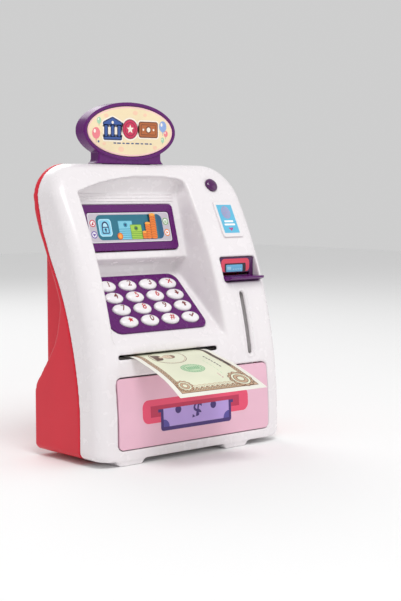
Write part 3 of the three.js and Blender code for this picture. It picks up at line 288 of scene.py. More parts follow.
def grown(points, distance):
    """A polygon with every edge moved outwards by the same distance; the points run anticlockwise."""
    edges = []
    for i, (u, v) in enumerate(points):
        along = (Vector(points[(i + 1) % len(points)]) - Vector((u, v))).normalized()
        edges.append((Vector((u + along.y * distance, v - along.x * distance)), along))
    moved = []
    for i, (start, along) in enumerate(edges):
        before, way = edges[i - 1]
        gap = start - before
        t = (gap.x * along.y - gap.y * along.x) / (way.x * along.y - way.y * along.x)
        moved.append(tuple(before + way * t))
    return moved


BAY_LEFT, BAY_RIGHT, DRAFT, OUTSIDE = -66.5, 33.0, 0.1, -12.0
KEYPAD_Y, KEYPAD_Z, KEYPAD_TILT, KEYPAD_RUN = 13.8, 82.0, math.radians(42.3), 57.9
SCREEN_Y, SCREEN_Z, SCREEN_TILT = 46.5, 131.0, math.radians(74.4)
CEILING_Y, CEILING_Z = 59.6, 178.0
ARCH_X, ARCH_Z, ARCH_R = 0.5, 188.8, 210.0
KEYPAD = Matrix.Translation((0, KEYPAD_Y, KEYPAD_Z)) @ Matrix.Rotation(KEYPAD_TILT, 4, "X")
SCREEN = Matrix.Translation((0, SCREEN_Y, SCREEN_Z)) @ Matrix.Rotation(SCREEN_TILT, 4, "X")
keypad_top = (KEYPAD_Y + KEYPAD_RUN * math.cos(KEYPAD_TILT), KEYPAD_Z + KEYPAD_RUN * math.sin(KEYPAD_TILT))
BAY_SIDE = [(OUTSIDE, KEYPAD_Z - (KEYPAD_Y - OUTSIDE) * math.tan(KEYPAD_TILT)), keypad_top,
            (keypad_top[0] + 1.4, SCREEN_Z - 4.5),
            (SCREEN_Y, SCREEN_Z), (CEILING_Y, CEILING_Z), (OUTSIDE, CEILING_Z)]


def bay(growth):
    """The space of the bay, or the block of its walls: a slanted pocket with an arched top."""
    pocket = prism(grown(BAY_SIDE, growth) if growth else BAY_SIDE, "x", BAY_LEFT - growth,
                   BAY_RIGHT + growth)
    for v in pocket.verts:
        shy = DRAFT * (v.co.y - front_y(v.co.z))
        v.co.x += shy if v.co.x < 0 else -shy
    radius, left, right, corner = ARCH_R + growth, BAY_LEFT - growth, BAY_RIGHT + growth, 6.0
    rise = lambda x: ARCH_Z - ARCH_R + math.sqrt(radius**2 - (x - ARCH_X) ** 2)
    edge = [right - corner + (left - right + corner) * i / 24 for i in range(25)]
    turn = [(right - corner * (1 - math.cos(a)), rise(right - corner) - corner * (1 - math.sin(a)))
            for a in [math.pi / 2 * i / 6 for i in range(6)]]
    outline = [(left, CEILING_Z - 2), (right, CEILING_Z - 2)] + turn + [(x, rise(x)) for x in edge]
    depth = [(OUTSIDE, CEILING_Z - 3), (CEILING_Y, CEILING_Z - 3), (CEILING_Y, CEILING_Z),
             (54.6, ARCH_Z + 1), (54.6, HEIGHT), (OUTSIDE, HEIGHT)]
    arch = worked(prism(outline, "y", OUTSIDE, DEPTH), prism(grown(depth, growth) if growth else depth, "x",
            left - 1, right + 1), "INTERSECT")
    return worked(pocket, arch, "UNION")


def on_face(x, z):
    """The plane that lies on the front face at a point, its z axis outwards."""
    lean = math.asin(max(0.0, z - FRONT_Z) / FRONT_R)
    return Matrix.Translation((x, front_y(z), z)) @ Matrix.Rotation(math.pi / 2 - lean, 4, "X")


def turned(bm, matrix):
    bmesh.ops.transform(bm, matrix=matrix, verts=bm.verts)
    return bm


PANEL = (-59.5, 24.5, 1.6, 54.0)
BEZEL = (-58.0, 25.0, 6.2, 39.2)
DRAWER = (-68.5, 70.0, 6.6, 55.0)
CARD = (42.0, 77.3, 113.0, 130.8)
COIN_X, COIN_LOW, COIN_HIGH = 55.5, 62.0, 106.0
LENS_X, LENS_Z, PAD_X, PAD_Z = 56.5, 182.5, 61.1, 157.8
SIGN_X, SIGN_Z, SIGN_FRONT, SIGN_BACK = -9.5, 220.6, 59.5, 70.5

outer = case_block(0, lambda z: seam_y(z) - 0.15)
walls = worked(outer, case_block(WALL, lambda z: seam_y(z) + 10), "DIFFERENCE")
bay_block = worked(bay(WALL), case_block(0.1, lambda z: 71.0), "INTERSECT")
card_block = worked(prism(oblong(CARD[0] - WALL, CARD[1] + WALL, CARD[2] - WALL, CARD[3] + WALL), "y", 0,
                          26.9),
                    case_block(0.1, lambda z: seam_y(z) - 0.3), "INTERSECT")
feet = [prism([(x - 9.4, -FOOT), (x + 9.4, -FOOT), (x + 13.2, 1.0), (x - 13.2, 1.0)], "y", 0.8, 14)
        for x in (-57.5, 37.8)]
rails = [prism(oblong(x - 1.5, x + 1.5, 1, 7.1), "y", 4, 22.8) for x in (-50, 50)]
rim = worked(prism(oblong(COIN_X - 3.4, COIN_X + 3.4, COIN_LOW - 2.2, COIN_HIGH + 2.2), "y", -5, 40,
                   soften=3.2),
             case_block(-0.7, lambda z: front_y(z) + 2.4), "INTERSECT")
zone = worked(prism(oblong(-65, 36, 55.6, 79), "y", OUTSIDE, 12), case_block(0.45, lambda z: DEPTH),
              "DIFFERENCE")
dish = worked(prism(oblong(COIN_X - 8, COIN_X + 8, COIN_LOW - 5, COIN_HIGH + 1), "y", OUTSIDE, 22,
                    soften=7.5),
              case_block(0.5, lambda z: DEPTH), "DIFFERENCE")
shell = together(walls, bay_block, card_block, *feet, *rails)
mouth = worked(prism(oblong(COIN_X - 2.7, COIN_X + 2.7, COIN_LOW - 1.4, COIN_HIGH + 1.2), "y", OUTSIDE, 22,
                     soften=2.5),
               case_block(1.1, lambda z: DEPTH), "DIFFERENCE")
shell = worked(shell, together(zone, dish), "DIFFERENCE")
shell = together(shell, rim)
tools = [
    bay(0),
    mouth,
    prism(oblong(COIN_X - 1.5, COIN_X + 1.5, COIN_LOW, COIN_HIGH), "y", OUTSIDE, 24, soften=1.4),
    prism(oblong(*DRAWER), "y", OUTSIDE, 10, soften=4),
    prism(oblong(-64, 24.3, 66.9, 69.5), "y", OUTSIDE, 12),
    prism(oblong(SIGN_X - 20.3, SIGN_X + 20.3, 62.7, 67.3), "z", HEIGHT - 6, HEIGHT + 2),
    prism(oblong(*CARD), "y", OUTSIDE, 28.5),
    turned(rod(4.3, "z", -6, 6, 0, 0), on_face(LENS_X, LENS_Z)),
    turned(prism(oblong(-10.1, 10.1, -14.5, 14.5), "z", -1.2, 5, soften=2), on_face(PAD_X, PAD_Z)),
    turned(prism(oblong(PANEL[0] - 0.3, PANEL[1] + 0.3, PANEL[2] - 0.3, PANEL[3] + 0.3), "z", -1.5, 4,
                 soften=7.3), KEYPAD),
    turned(prism(oblong(PANEL[0] + 3.5, PANEL[1] - 3, PANEL[2] + 3, PANEL[3] - 3), "z", -5.4, 4, soften=4),
           KEYPAD),
    turned(prism(oblong(BEZEL[0] - 0.3, BEZEL[1] + 0.3, BEZEL[2] - 0.3, BEZEL[3] + 0.3), "z", -5.4, 4,
                 soften=3.3), SCREEN),
]
shell = worked(shell, together(*tools), "DIFFERENCE")


def bay_lips(co):
    """How much the edge of the bay is rounded at a point: most on the lip under the keys."""
    depth = co.y - front_y(co.z)
    near = max(0.0, 1 - abs(depth) / 7)
    if not 70 < co.z < 194 or near == 0 or not BAY_LEFT - 8 < co.x < BAY_RIGHT + 8:
        return 0.0
    arch = ARCH_Z - ARCH_R + math.sqrt(ARCH_R**2 - (co.x - ARCH_X) ** 2)
    side = min(abs(co.x - BAY_LEFT), abs(co.x - BAY_RIGHT))
    off = min(side, abs(co.z - 75.3) * 0.6, abs(co.z - arch) * 1.4)
    return near * max(0.0, 1 - off / 6)


fine = 0.9
shell = moulded(shell, fine, rounds=6, faces=190000, lips=bay_lips)
white_abs = plastic("white_shell", ink(238, 233, 235), gloss=0.26, tint=0.012)
piece("front_shell_moulding", shell, white_abs, "case", ["front_shell"], smooth=60)

# Three fine raised lines run across the bay above the screen, moulded with the shell.
ribs = [prism(oblong(y, y + 0.9, -0.4, 0.55), "x", BAY_LEFT + 5.2, BAY_RIGHT - 5.2)
        for y in (41.6, 44.0, 46.4)]
piece("bay_ribs", turned(together(*ribs), SCREEN), white_abs, "case", bevel=0.25)

# ---------------------------------------------------------------- rear shell
# The back half: one red ABS moulding with two waisted cheeks flush with the sides and an
# upright box between them.
# It carries the battery compartment, the speaker slots, the power switch and the rear feet.
CHEEK = [(0, 176), (1.2, 165), (5.6, 153), (9.6, 145), (17.2, 130), (26.8, 110), (29.1, 99), (23.6, 77),
         (8, 55), (1, 46), (0, 38)]


def cheek(front, shy, low, high, x0, x1):
    """A cheek's side outline with its waisted back edge, drawn out across the case."""
    points = [Vector((DEPTH - back - shy, z)) for back, z in CHEEK]
    curve = []
    for i in range(len(points) - 1):
        a, b, c, d = points[max(0, i - 1)], points[i], points[i + 1], points[min(len(points) - 1, i + 2)]
        for k in range(8):
            t = k / 8
            curve.append(0.5 * (2 * b + (c - a) * t + (2 * a - 5 * b + 4 * c - d) * t**2
                                + (3 * b - a - 3 * c + d) * t**3))
    curve.append(points[-1])
    back_edge = [(DEPTH - shy, low)] + [tuple(p) for p in reversed(curve)] + [(DEPTH - shy, high)]
    heights = [low + (high - low) * i / 60 for i in range(61)]
    return prism(back_edge + [(front(z), z) for z in reversed(heights)], "x", x0, x1)


def rear_outline(inset):
    """The case seen from the front, drawn out along its depth."""
    low, top = max(0.5, LOW_R - inset), TOP_R - inset
    bm = prism(oblong(-HALF + inset, HALF - inset, inset, HEIGHT - inset), "y", -1, DEPTH + 1)
    for height, radius, segments in ((HEIGHT - inset, top, 16), (inset, low, 6)):
        edges = [e for e in bm.edges if all(abs(v.co.z - height) < 0.01 for v in e.verts)
                 and abs(e.verts[0].co.y - e.verts[1].co.y) > 1]
        bmesh.ops.bevel(bm, geom=edges, offset=radius, segments=segments, profile=0.5, affect="EDGES",
                        material=-1)
    return bm


rear_front = lambda z: seam_y(z) + 0.15
open_front = lambda z: 5.0
blank = worked(cheek(rear_front, 0, 0, HEIGHT, -HALF, HALF),
               prism([(DEPTH, 0), (DEPTH, HEIGHT)] + [(rear_front(z), z)
                                                      for z in [HEIGHT * (60 - i) / 60 for i in range(61)]],
                                                      "x", -73.5, 73.5), "UNION")
blank = worked(blank, rear_outline(0), "INTERSECT")
hollow = worked(cheek(open_front, WALL, WALL, HEIGHT - WALL, -HALF + WALL, HALF - WALL),
                prism(oblong(5.0, DEPTH - WALL, WALL, HEIGHT - WALL), "x", -71.1, 71.1), "UNION")
hollow = worked(hollow, rear_outline(WALL), "INTERSECT")
rear = worked(blank, hollow, "DIFFERENCE")
rear_feet = [prism([(x - 9.4, -FOOT), (x + 9.4, -FOOT), (x + 13.2, 1.0), (x - 13.2, 1.0)], "y", DEPTH - 17,
                   DEPTH - 4) for x in (-57.5, 57.5)]
rear_rails = [prism(oblong(x - 1.5, x + 1.5, 1, 7.1), "y", 23.2, DEPTH - 1) for x in (-50, 50)]
screw_spots = [(side * (HALF - 8), z) for side in (-1, 1) for z in (20, 172)]
bosses = [rod(4.6, "y", DEPTH - 16.1, DEPTH - 1, x, z) for x, z in screw_spots]
cover_boss = rod(3, "y", DEPTH - 10, DEPTH - 1.9, -35, 108.5)
rear = together(rear, *rear_feet, *rear_rails, *bosses, cover_boss)
slots = [prism(oblong(54 - reach, 54 + reach, 92 + row * 4.6 - 1, 92 + row * 4.6 + 1), "y", DEPTH - 5,
               DEPTH + 1, soften=0.95)
         for row, reach in zip((-2, -1, 0, 1, 2), (9, 12, 13, 12, 9))]
rear_tools = [prism(oblong(-66, -4, 55.6, 105.4), "y", DEPTH - 3.4, DEPTH + 1),
              prism(oblong(-41, -29, 104.4, 112.4), "y", DEPTH - 2, DEPTH + 1),
              rod(1.6, "y", DEPTH - 11, DEPTH, -35, 108.5), prism(oblong(13.5, 26.5, 136, 144), "y",
                      DEPTH - 1.2, DEPTH + 1, soften=1.5),
              prism(oblong(15.5, 24.5, 138, 142), "y", DEPTH - 5, DEPTH), *slots]
rear_tools += [rod(3.3, "y", DEPTH - 5, DEPTH + 1, x, z) for x, z in screw_spots]
rear_tools += [rod(1.8, "y", DEPTH - 17.1, DEPTH, x, z) for x, z in screw_spots]
rear = worked(rear, together(*rear_tools), "DIFFERENCE")


def cheek_lips(co):
    """The waisted back edges of the cheeks are rounded more than the rest."""
    if abs(co.x) < 74.5 or not 42 < co.z < 172:
        return 0.0
    return max(0.0, 1 - abs(abs(co.x) - HALF) / 5) if co.y > seam_y(co.z) + 2.6 else 0.0


rear = moulded(rear, fine, rounds=3, faces=170000, lips=cheek_lips, lip_rounds=10)
red_abs = plastic("red_shell", ink(214, 34, 54), gloss=0.34, coat=0.05, shine=0.3)
piece("rear_shell_moulding", rear, red_abs, "case", ["rear_shell"], smooth=60)

# ---------------------------------------------------------------- sign housing
# A hollow purple ABS housing: an oval on a short neck that flares at its foot, one
# moulding with a soft rim.
# Its tab plugs into a slot in the top of the case, and a thin plate closes it behind.
SIGN_HALF, SIGN_RISE, SIGN_RIM, NECK_HALF = 41.25, 20.5, 2.6, 31.25
purple_abs = plastic("purple_plastic", ink(92, 8, 102), gloss=0.26, coat=0.08, shine=0.3)


def sign_oval(shrink, low, high):
    return rod(SIGN_HALF - shrink, "y", low, high, SIGN_X, SIGN_Z, 96,
               flat=(SIGN_RISE - shrink) / (SIGN_HALF - shrink))


neck_side = [(NECK_HALF, 197.7), (NECK_HALF - 1.7, 198.7), (NECK_HALF - 2.8, 200.0),
             (NECK_HALF - 3.2, 201.7), (NECK_HALF - 3.2, 210.3)]
neck = prism([(SIGN_X + x, z) for x, z in neck_side] + [(SIGN_X - x, z) for x, z in reversed(neck_side)],
             "y", SIGN_FRONT + 1, SIGN_BACK)
housing = worked(sign_oval(0, SIGN_FRONT, SIGN_BACK), neck, "UNION")
room = together(sign_oval(1.6, SIGN_FRONT + 3.2, SIGN_BACK + 1),
                prism(oblong(SIGN_X - 26.45, SIGN_X + 26.45, 199.3, 210.35), "y", SIGN_FRONT + 3.2,
                      SIGN_BACK + 1),
                sign_oval(SIGN_RIM, SIGN_FRONT - 1, SIGN_FRONT + 1.5))
housing = worked(housing, room, "DIFFERENCE")
housing = together(housing, prism(oblong(SIGN_X - 20, SIGN_X + 20, 63, 67), "z", HEIGHT - 4.6, 199.8))
housing = moulded(housing, 0.42, rounds=7, faces=150000)
piece("sign_housing_moulding", housing, purple_abs, "case", ["sign_housing"], smooth=60)


def finish_node(name, material, edge=0.0, segments=2):
    """A material and, where it shows, a softened edge for a node kept as it is."""
    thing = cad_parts[name]
    while len(thing.data.materials) == 0:
        thing.data.materials.append(material)
    for spot in thing.material_slots:
        spot.link = "OBJECT"
        spot.material = material
    if edge:
        soft = thing.modifiers.new("edge", "BEVEL")
        soft.width = edge * MM
        soft.segments = segments
        soft.limit_method = "ANGLE"
        soft.angle_limit = math.radians(35)


finish_node("sign_back", purple_abs, 0.3)

# ---------------------------------------------------------------- sign face
# An oval sheet of cream styrene, screen printed, pressed into the recess of the sign's rim and glued.
# Three plain pictures stand in a row (a bank, a coin and a banknote) between party balloons.
LAYER = 0.03  # the build-up of one printed ink


def palette(prefix, base, **colours):
    """A sheet's own material followed by its inks, and the index of each ink."""
    inks = [plastic(prefix + "_" + name, ink(*rgb), gloss=0.38, peel=0.03, tint=0.05, coat=0.1) for name,
            rgb in colours.items()]
    return [base] + inks, {name: i + 1 for i, name in enumerate(colours)}


def stamp(bm, points, layer, colour, soften=0.0, arc=5):
    """A flat printed shape, its corners rounded if asked."""
    ring = [bm.verts.new((u, v, layer * LAYER)) for u, v in points]
    bm.faces.new(ring).material_index = colour
    if soften:
        bmesh.ops.bevel(bm, geom=ring, offset=soften, segments=arc, profile=0.5, affect="VERTICES",
                        material=-1)


def disc(bm, u, v, radius, layer, colour, flat=1.0, segments=28):
    made = bmesh.ops.create_circle(bm, cap_ends=True, segments=segments, radius=radius,
                                   matrix=Matrix.Translation((u, v, layer * LAYER)) @ Matrix.Diagonal((1,
                                           flat, 1, 1)))
    for face in {f for vert in made["verts"] for f in vert.link_faces}:
        face.material_index = colour


def chunky(bm, points, layer, halo, rim, fill, soften):
    """A plump printed shape with a darker rim and a pale halo round it."""
    stamp(bm, grown(points, 1.5), layer, halo, soften + 1.4)
    stamp(bm, grown(points, 0.55), layer + 1, rim, soften + 0.5)
    stamp(bm, grown(points, -0.35), layer + 2, fill, max(0.3, soften - 0.3))


cream = plastic("sign_cream", ink(243, 224, 184), gloss=0.4, tint=0.05)
inks, c = palette("sign", cream, rim=(246, 196, 200), blue=(44, 82, 156), navy=(20, 44, 96),
                  crimson=(206, 36, 84), wine=(140, 22, 60),
                  brown=(182, 98, 44), umber=(120, 60, 24), halo=(250, 240, 226), rose=(240, 130, 140),
                  green=(168, 212, 178), sky=(142, 170, 222),
                  slate=(70, 88, 132), blush=(247, 206, 176))
art = bmesh.new()
disc(art, 0, 0, SIGN_HALF - SIGN_RIM - 0.5, 1, c["rim"], flat=(SIGN_RISE - 3.1) / (SIGN_HALF - 3.1),
     segments=96)
disc(art, 0, 0, SIGN_HALF - SIGN_RIM - 1.3, 2, 0, flat=(SIGN_RISE - 3.9) / (SIGN_HALF - 3.9), segments=96)
for u, v, radius in ((-9, -12.6, 2.6), (4, 13.2, 2.2), (-22, 10.5, 2), (22, -11, 2), (-24, -9, 1.6),
                     (13, 12, 1.7)):
    disc(art, u, v, radius, 3, c["blush"], flat=0.7)
roof = [(-24.6, 4.2), (-8.4, 4.2), (-8.4, 5.8), (-16.5, 9.4), (-24.6, 5.8)]
chunky(art, roof, 3, c["halo"], c["navy"], c["blue"], 0.6)
chunky(art, oblong(-24.2, -8.8, -5.9, -3.9), 3, c["halo"], c["navy"], c["blue"], 0.7)
for u in (-22.3, -16.5, -10.7):
    chunky(art, oblong(u - 1.25, u + 1.25, -4.2, 4.2), 3, c["halo"], c["navy"], c["blue"], 0.4)
disc(art, -16.5, 5.9, 1.0, 6, c["halo"])
for radius, layer, colour in ((8.1, 3, "halo"), (7.0, 4, "wine"), (6.3, 5, "crimson"), (4.9, 6, "wine"),
                              (4.4, 7, "crimson")):
    disc(art, -0.8, 1.6, radius, layer, c[colour], segments=48)
star = [(-0.8 + (3.3 if k % 2 == 0 else 1.5) * math.sin(k * math.pi / 5),
         1.6 + (3.3 if k % 2 == 0 else 1.5) * math.cos(k * math.pi / 5)) for k in range(9, -1, -1)]
stamp(art, star, 8, c["halo"])
chunky(art, oblong(7.6, 24.2, -3.6, 6.8), 3, c["halo"], c["umber"], c["brown"], 1.2)
stamp(art, oblong(9.0, 22.8, -2.2, 5.4), 6, c["umber"], 0.8)
stamp(art, oblong(9.5, 22.3, -1.7, 4.9), 7, c["brown"], 0.6)
disc(art, 15.9, 1.6, 2.6, 8, c["umber"])
disc(art, 15.9, 1.6, 1.7, 9, c["halo"])
for u in (11.2, 20.6):
    disc(art, u, 1.6, 0.8, 8, c["halo"])
for u, width in ((-14.6, 2.6), (-10.9, 3.4), (-6.8, 2.2), (-3.0, 3.2), (1.3, 2.4), (5.6, 3.6), (9.9, 2.4),
                 (14.2, 3.4), (18.0, 2.2)):
    stamp(art, oblong(u - width / 2, u + width / 2, -8.9, -8.0), 3, c["slate"], 0.4, 3)
for u, v, radius, colour, flat in ((-31.0, -1.8, 3.5, "rose", 1.15), (-28.4, 7.0, 1.9, "green", 1.25),
                                   (29.4, 4.2, 3.4, "sky", 1.18),
                                   (32.2, -0.9, 1.9, "rose", 1.15), (29.2, -5.4, 1.5, "green", 1.3)):
    disc(art, u, v, radius, 4, c[colour], flat=flat)
    disc(art, u - radius * 0.35, v + radius * 0.4, radius * 0.28, 5, c["halo"], flat=1.4)
    stamp(art, [(u - 0.12, v - radius * 1.9), (u + 0.12, v - radius * 1.9), (u + 0.12, v - radius),
                (u - 0.12, v - radius)], 3, c["slate"])
    stamp(art, [(u, v - radius * 1.05), (u - radius * 0.2, v - radius * 1.4),
                (u + radius * 0.2, v - radius * 1.4)], 4, c[colour])
disc(art, -29.0, -7.6, 0.8, 4, c["slate"])
turned(art, Matrix.Translation((SIGN_X, SIGN_FRONT + 0.3, SIGN_Z)) @ Matrix.Rotation(math.pi / 2, 4, "X"))
piece("sign_sheet", together(sign_oval(SIGN_RIM + 0.3, SIGN_FRONT + 0.3, SIGN_FRONT + 1.2), art), inks,
      "case", ["sign_face"], bevel=0.15, segments=2)

# ---------------------------------------------------------------- screen bezel
# A purple ABS frame round the play screen, rounded at its corners and softly bevelled.
# It drops into a seat in the back of the bay and is glued from behind.
frame_ring = prism(oblong(*BEZEL), "z", -2.1, 1.0, soften=3, arc=8)
window = prism(oblong(BEZEL[0] + 4.5, BEZEL[1] - 4.5, BEZEL[2] + 5.4, BEZEL[3] - 5.4), "z", -0.4, 2,
               soften=2)
piece("screen_frame", turned(worked(frame_ring, window, "DIFFERENCE"), SCREEN), purple_abs, "case",
      ["screen_bezel"], bevel=0.45)

# ---------------------------------------------------------------- screen sheet
# A printed styrene sheet glued inside the bezel: a teal screen with savings pictures on a grey panel.
# The picture is screen printed in flat inks; a padlock, two stacks of notes and stacks of coins.
grey_sheet = plastic("screen_grey", ink(196, 188, 198), gloss=0.36, tint=0.02)
inks, c = palette("screen", grey_sheet, pale=(224, 218, 226), teal=(14, 108, 130), deep=(8, 84, 124),
                  tile=(128, 204, 232), tile_rim=(176, 226, 244),
                  navy=(28, 50, 96), red=(206, 40, 66), violet=(104, 66, 168), leaf=(112, 172, 90),
                  orange=(240, 128, 36), amber=(250, 168, 60),
                  rust=(190, 84, 20), note=(124, 200, 222), note_line=(50, 142, 172), lime=(164, 204, 72),
                  grass=(96, 150, 44), white=(246, 244, 246))
art = bmesh.new()
stamp(art, oblong(-53.0, 20.0, 12.0, 33.3), 1, c["pale"], 2.2)
stamp(art, oblong(-52.3, 19.3, 12.6, 32.7), 2, 0, 1.9)
stamp(art, oblong(-46.4, 13.2, 13.8, 31.9), 3, c["deep"], 4.2, 7)
stamp(art, oblong(-46.4, 6.5, 13.8, 31.9), 4, c["teal"], 4.2, 7)
stamp(art, oblong(0, 8.5, 13.8, 31.9), 4, c["teal"])
stamp(art, oblong(-44.6, -33.4, 16.4, 29.0), 5, c["tile_rim"], 2.4)
stamp(art, oblong(-43.7, -34.3, 17.3, 28.1), 6, c["tile"], 1.8)
disc(art, -39.0, 23.4, 3.1, 7, c["navy"], flat=1.25)
disc(art, -39.0, 23.4, 2.0, 8, c["tile_rim"], flat=1.35)
stamp(art, oblong(-42.2, -35.8, 18.4, 23.4), 9, c["navy"], 0.9)
stamp(art, oblong(-41.4, -36.6, 19.1, 22.7), 10, c["tile"], 0.6)
disc(art, -39.0, 21.4, 0.9, 11, c["navy"])
stamp(art, oblong(-39.4, -38.6, 19.4, 21.2), 11, c["navy"])
for u, v, colour in ((-49.4, 26.0, "red"), (-49.4, 17.9, "violet"), (16.4, 26.5, "leaf"),
                     (16.3, 18.2, "orange")):
    disc(art, u, v, 2.6, 3, c[colour])
    disc(art, u, v, 1.9, 4, c["white"])
stamp(art, [(-50.6, 25.0), (-50.0, 24.6), (-48.2, 27.0), (-48.8, 27.4)], 5, c["red"])
disc(art, -49.4, 25.4, 0.9, 5, c["red"], flat=0.8)
stamp(art, [(-49.4, 16.5), (-48.1, 18.2), (-48.7, 18.9), (-49.4, 18.4), (-50.1, 18.9), (-50.7, 18.2)], 5,
      c["violet"])
for v in (25.8, 26.7):
    stamp(art, oblong(15.2, 17.6, v - 0.3, v + 0.3), 5, c["leaf"], 0.2, 2)
stamp(art, [(15.5, 17.2), (17.5, 18.2), (15.5, 19.2)], 5, c["orange"])
for left, right, top, paper, line, step in ((-27.4, -14.6, 27.6, "note", "note_line", 1.5),
                                            (-17.0, -6.8, 24.6, "lime", "grass", 1.3)):
    lift = 5 if left < -20 else 9
    stamp(art, oblong(left, right, 13.9, top), lift, c[line], 0.5, 3)
    height = 13.9 + 0.3
    while height < top - 6.2:
        stamp(art, oblong(left + 0.3, right - 0.3, height, height + step - 0.45), lift + 1, c[paper], 0.3,
              3)
        height += step
    stamp(art, oblong(left + 0.3, right - 0.3, height, top - 0.4), lift + 1, c[paper], 0.4, 3)
    disc(art, (left + right) / 2, (height + top - 0.4) / 2, 1.8, lift + 2, c[line], flat=0.95)
    disc(art, (left + right) / 2, (height + top - 0.4) / 2, 0.8, lift + 3, c["navy"], flat=0.95)
disc(art, -27.2, 16.4, 2.5, 13, c["rust"])
disc(art, -27.2, 16.4, 2.2, 14, c["orange"])
disc(art, -27.2, 16.4, 1.3, 15, c["amber"])
for u, top, radius in ((-4.6, 18.6, 2.3), (-1.2, 25.4, 2.5), (3.9, 31.2, 2.7)):
    count = int((top - 14.6) / 1.25)
    for k in range(count + 1):
        v = 14.9 + k * 1.25
        disc(art, u, v, radius, 13 + 2 * k, c["rust"], flat=0.42)
        disc(art, u, v + 0.25, radius - 0.08, 14 + 2 * k, c["amber" if k == count else "orange"], flat=0.4)
turned(art, Matrix.Translation((0, 0, 0.6)))
sheet = prism(oblong(BEZEL[0] + 4.8, BEZEL[1] - 4.8, BEZEL[2] + 5.7, BEZEL[3] - 5.7), "z", -0.1, 0.6,
              soften=1.8)
piece("screen_sheet", turned(together(sheet, art), SCREEN), inks, "case", ["screen_panel"],
      bevel=0.12, segments=2)

# ---------------------------------------------------------------- keypad panel
# A purple ABS plate with sixteen oval openings, its corners well rounded, snapped into the sloping seat.
# The keys come up through it from a rubber mat, and a printed circuit board lies under the mat.
KEY_HALF, KEY_RISE, KEY_SHOULDER, KEY_DOME = 7.5, 4.8, 0.9, 3.4
spots = [(-42.7 + 18.4 * column, 44.3 - 11.2 * row) for row in range(4) for column in range(4)]
plate = prism(oblong(*PANEL), "z", -1.2, 0.8, soften=7, arc=10)
holes = together(*[rod(KEY_HALF + 0.3, "z", -3, 3, u, v, 40, flat=(KEY_RISE + 0.3) / (KEY_HALF + 0.3))
                   for u, v in spots])
piece("keypad_plate", turned(worked(plate, holes, "DIFFERENCE"), KEYPAD), purple_abs, "case",
      ["keypad_panel"], bevel=0.35)
mat_rubber = plastic("grey_rubber", ink(84, 84, 90), gloss=0.7, peel=0.2, coat=0.0)
board_green = plastic("circuit_board", ink(34, 104, 62), gloss=0.35, peel=0.25, tint=0.2)
finish_node("key_mat", mat_rubber, 0.2)
finish_node("keypad_board", board_green)

# ---------------------------------------------------------------- keys
# Sixteen plump oval caps of glossy white ABS, each with a flange that holds it under the panel.
# Their digits and plain symbols are pad printed in red and brown and lie on the domes.
key_white = plastic("key_white", ink(244, 240, 242), gloss=0.2, peel=0.03, coat=0.35)
legend_brown = plastic("legend_brown", ink(122, 34, 30), gloss=0.4, coat=0.1)
legend_red = plastic("legend_red", ink(196, 26, 36), gloss=0.4, coat=0.1)


def glyph(text, size):
    """A printed digit as a flat mesh, centred."""
    curve = bpy.data.curves.new("glyph", "FONT")
    curve.body = text
    curve.size = size
    curve.align_x = "CENTER"
    curve.align_y = "CENTER"
    curve.shear = 0.18
    curve.offset = size * 0.012
    thing = bpy.data.objects.new("glyph", curve)
    bpy.context.scene.collection.objects.link(thing)
    mesh = bpy.data.meshes.new_from_object(thing.evaluated_get(bpy.context.evaluated_depsgraph_get()))
    bm = bmesh.new()
    bm.from_mesh(mesh)
    bpy.data.objects.remove(thing)
    bpy.data.curves.remove(curve)
    bpy.data.meshes.remove(mesh)
    bmesh.ops.triangulate(bm, faces=bm.faces)
    for v in bm.verts:
        v.co.z = LAYER
    return bm


def grid_cut(bm, step_u, step_v):
    """Splits flat printed faces along a grid, so that they can follow a curved surface."""
    for axis, step in ((0, step_u), (1, step_v)):
        low, high = min(v.co[axis] for v in bm.verts), max(v.co[axis] for v in bm.verts)
        at = math.ceil(low / step) * step
        while at < high:
            normal = [0, 0, 0]
            normal[axis] = 1
            spot = [0, 0, 0]
            spot[axis] = at
            bmesh.ops.bisect_plane(bm, geom=bm.verts[:] + bm.edges[:] + bm.faces[:], plane_co=spot,
                                   plane_no=normal)
            at += step


def key_symbol(name):
    """The plain marks of the four keys on the right, and the star and the hash."""
    bm = bmesh.new()
    if name == "clear":
        stamp(bm, [(-2.2, -1.6), (-1.6, -2.2), (2.2, 1.6), (1.6, 2.2)], 1, 1)
        stamp(bm, [(1.6, -2.2), (2.2, -1.6), (-1.6, 2.2), (-2.2, 1.6)], 1, 1)
    elif name == "save":
        stamp(bm, [(0, -2.3), (2.3, 0.1), (0.8, 0.1), (0.8, 2.2), (-0.8, 2.2), (-0.8, 0.1), (-2.3, 0.1)], 1,
              1)
    elif name == "draw":
        stamp(bm, [(0, 2.3), (-2.3, -0.1), (-0.8, -0.1), (-0.8, -2.2), (0.8, -2.2), (0.8, -0.1),
                   (2.3, -0.1)], 1, 1)
    elif name == "enter":
        stamp(bm, [(-2.6, 0.1), (-1.7, 0.9), (-0.7, -0.4), (2.2, 2.1), (2.8, 1.3), (-0.7, -1.9)], 1, 1)
    elif name == "star":
        stamp(bm, [((2.5 if k % 2 == 0 else 1.15) * math.sin(k * math.pi / 5),
                    (2.5 if k % 2 == 0 else 1.15) * math.cos(k * math.pi / 5))
                   for k in range(9, -1, -1)], 1, 1)
    return bm


def key_surface(u, v):
    reach = min(1.0, (u / KEY_HALF) ** 2 + (v / KEY_RISE) ** 2)
    return KEY_SHOULDER + (KEY_DOME - KEY_SHOULDER) * math.sqrt(1 - reach)


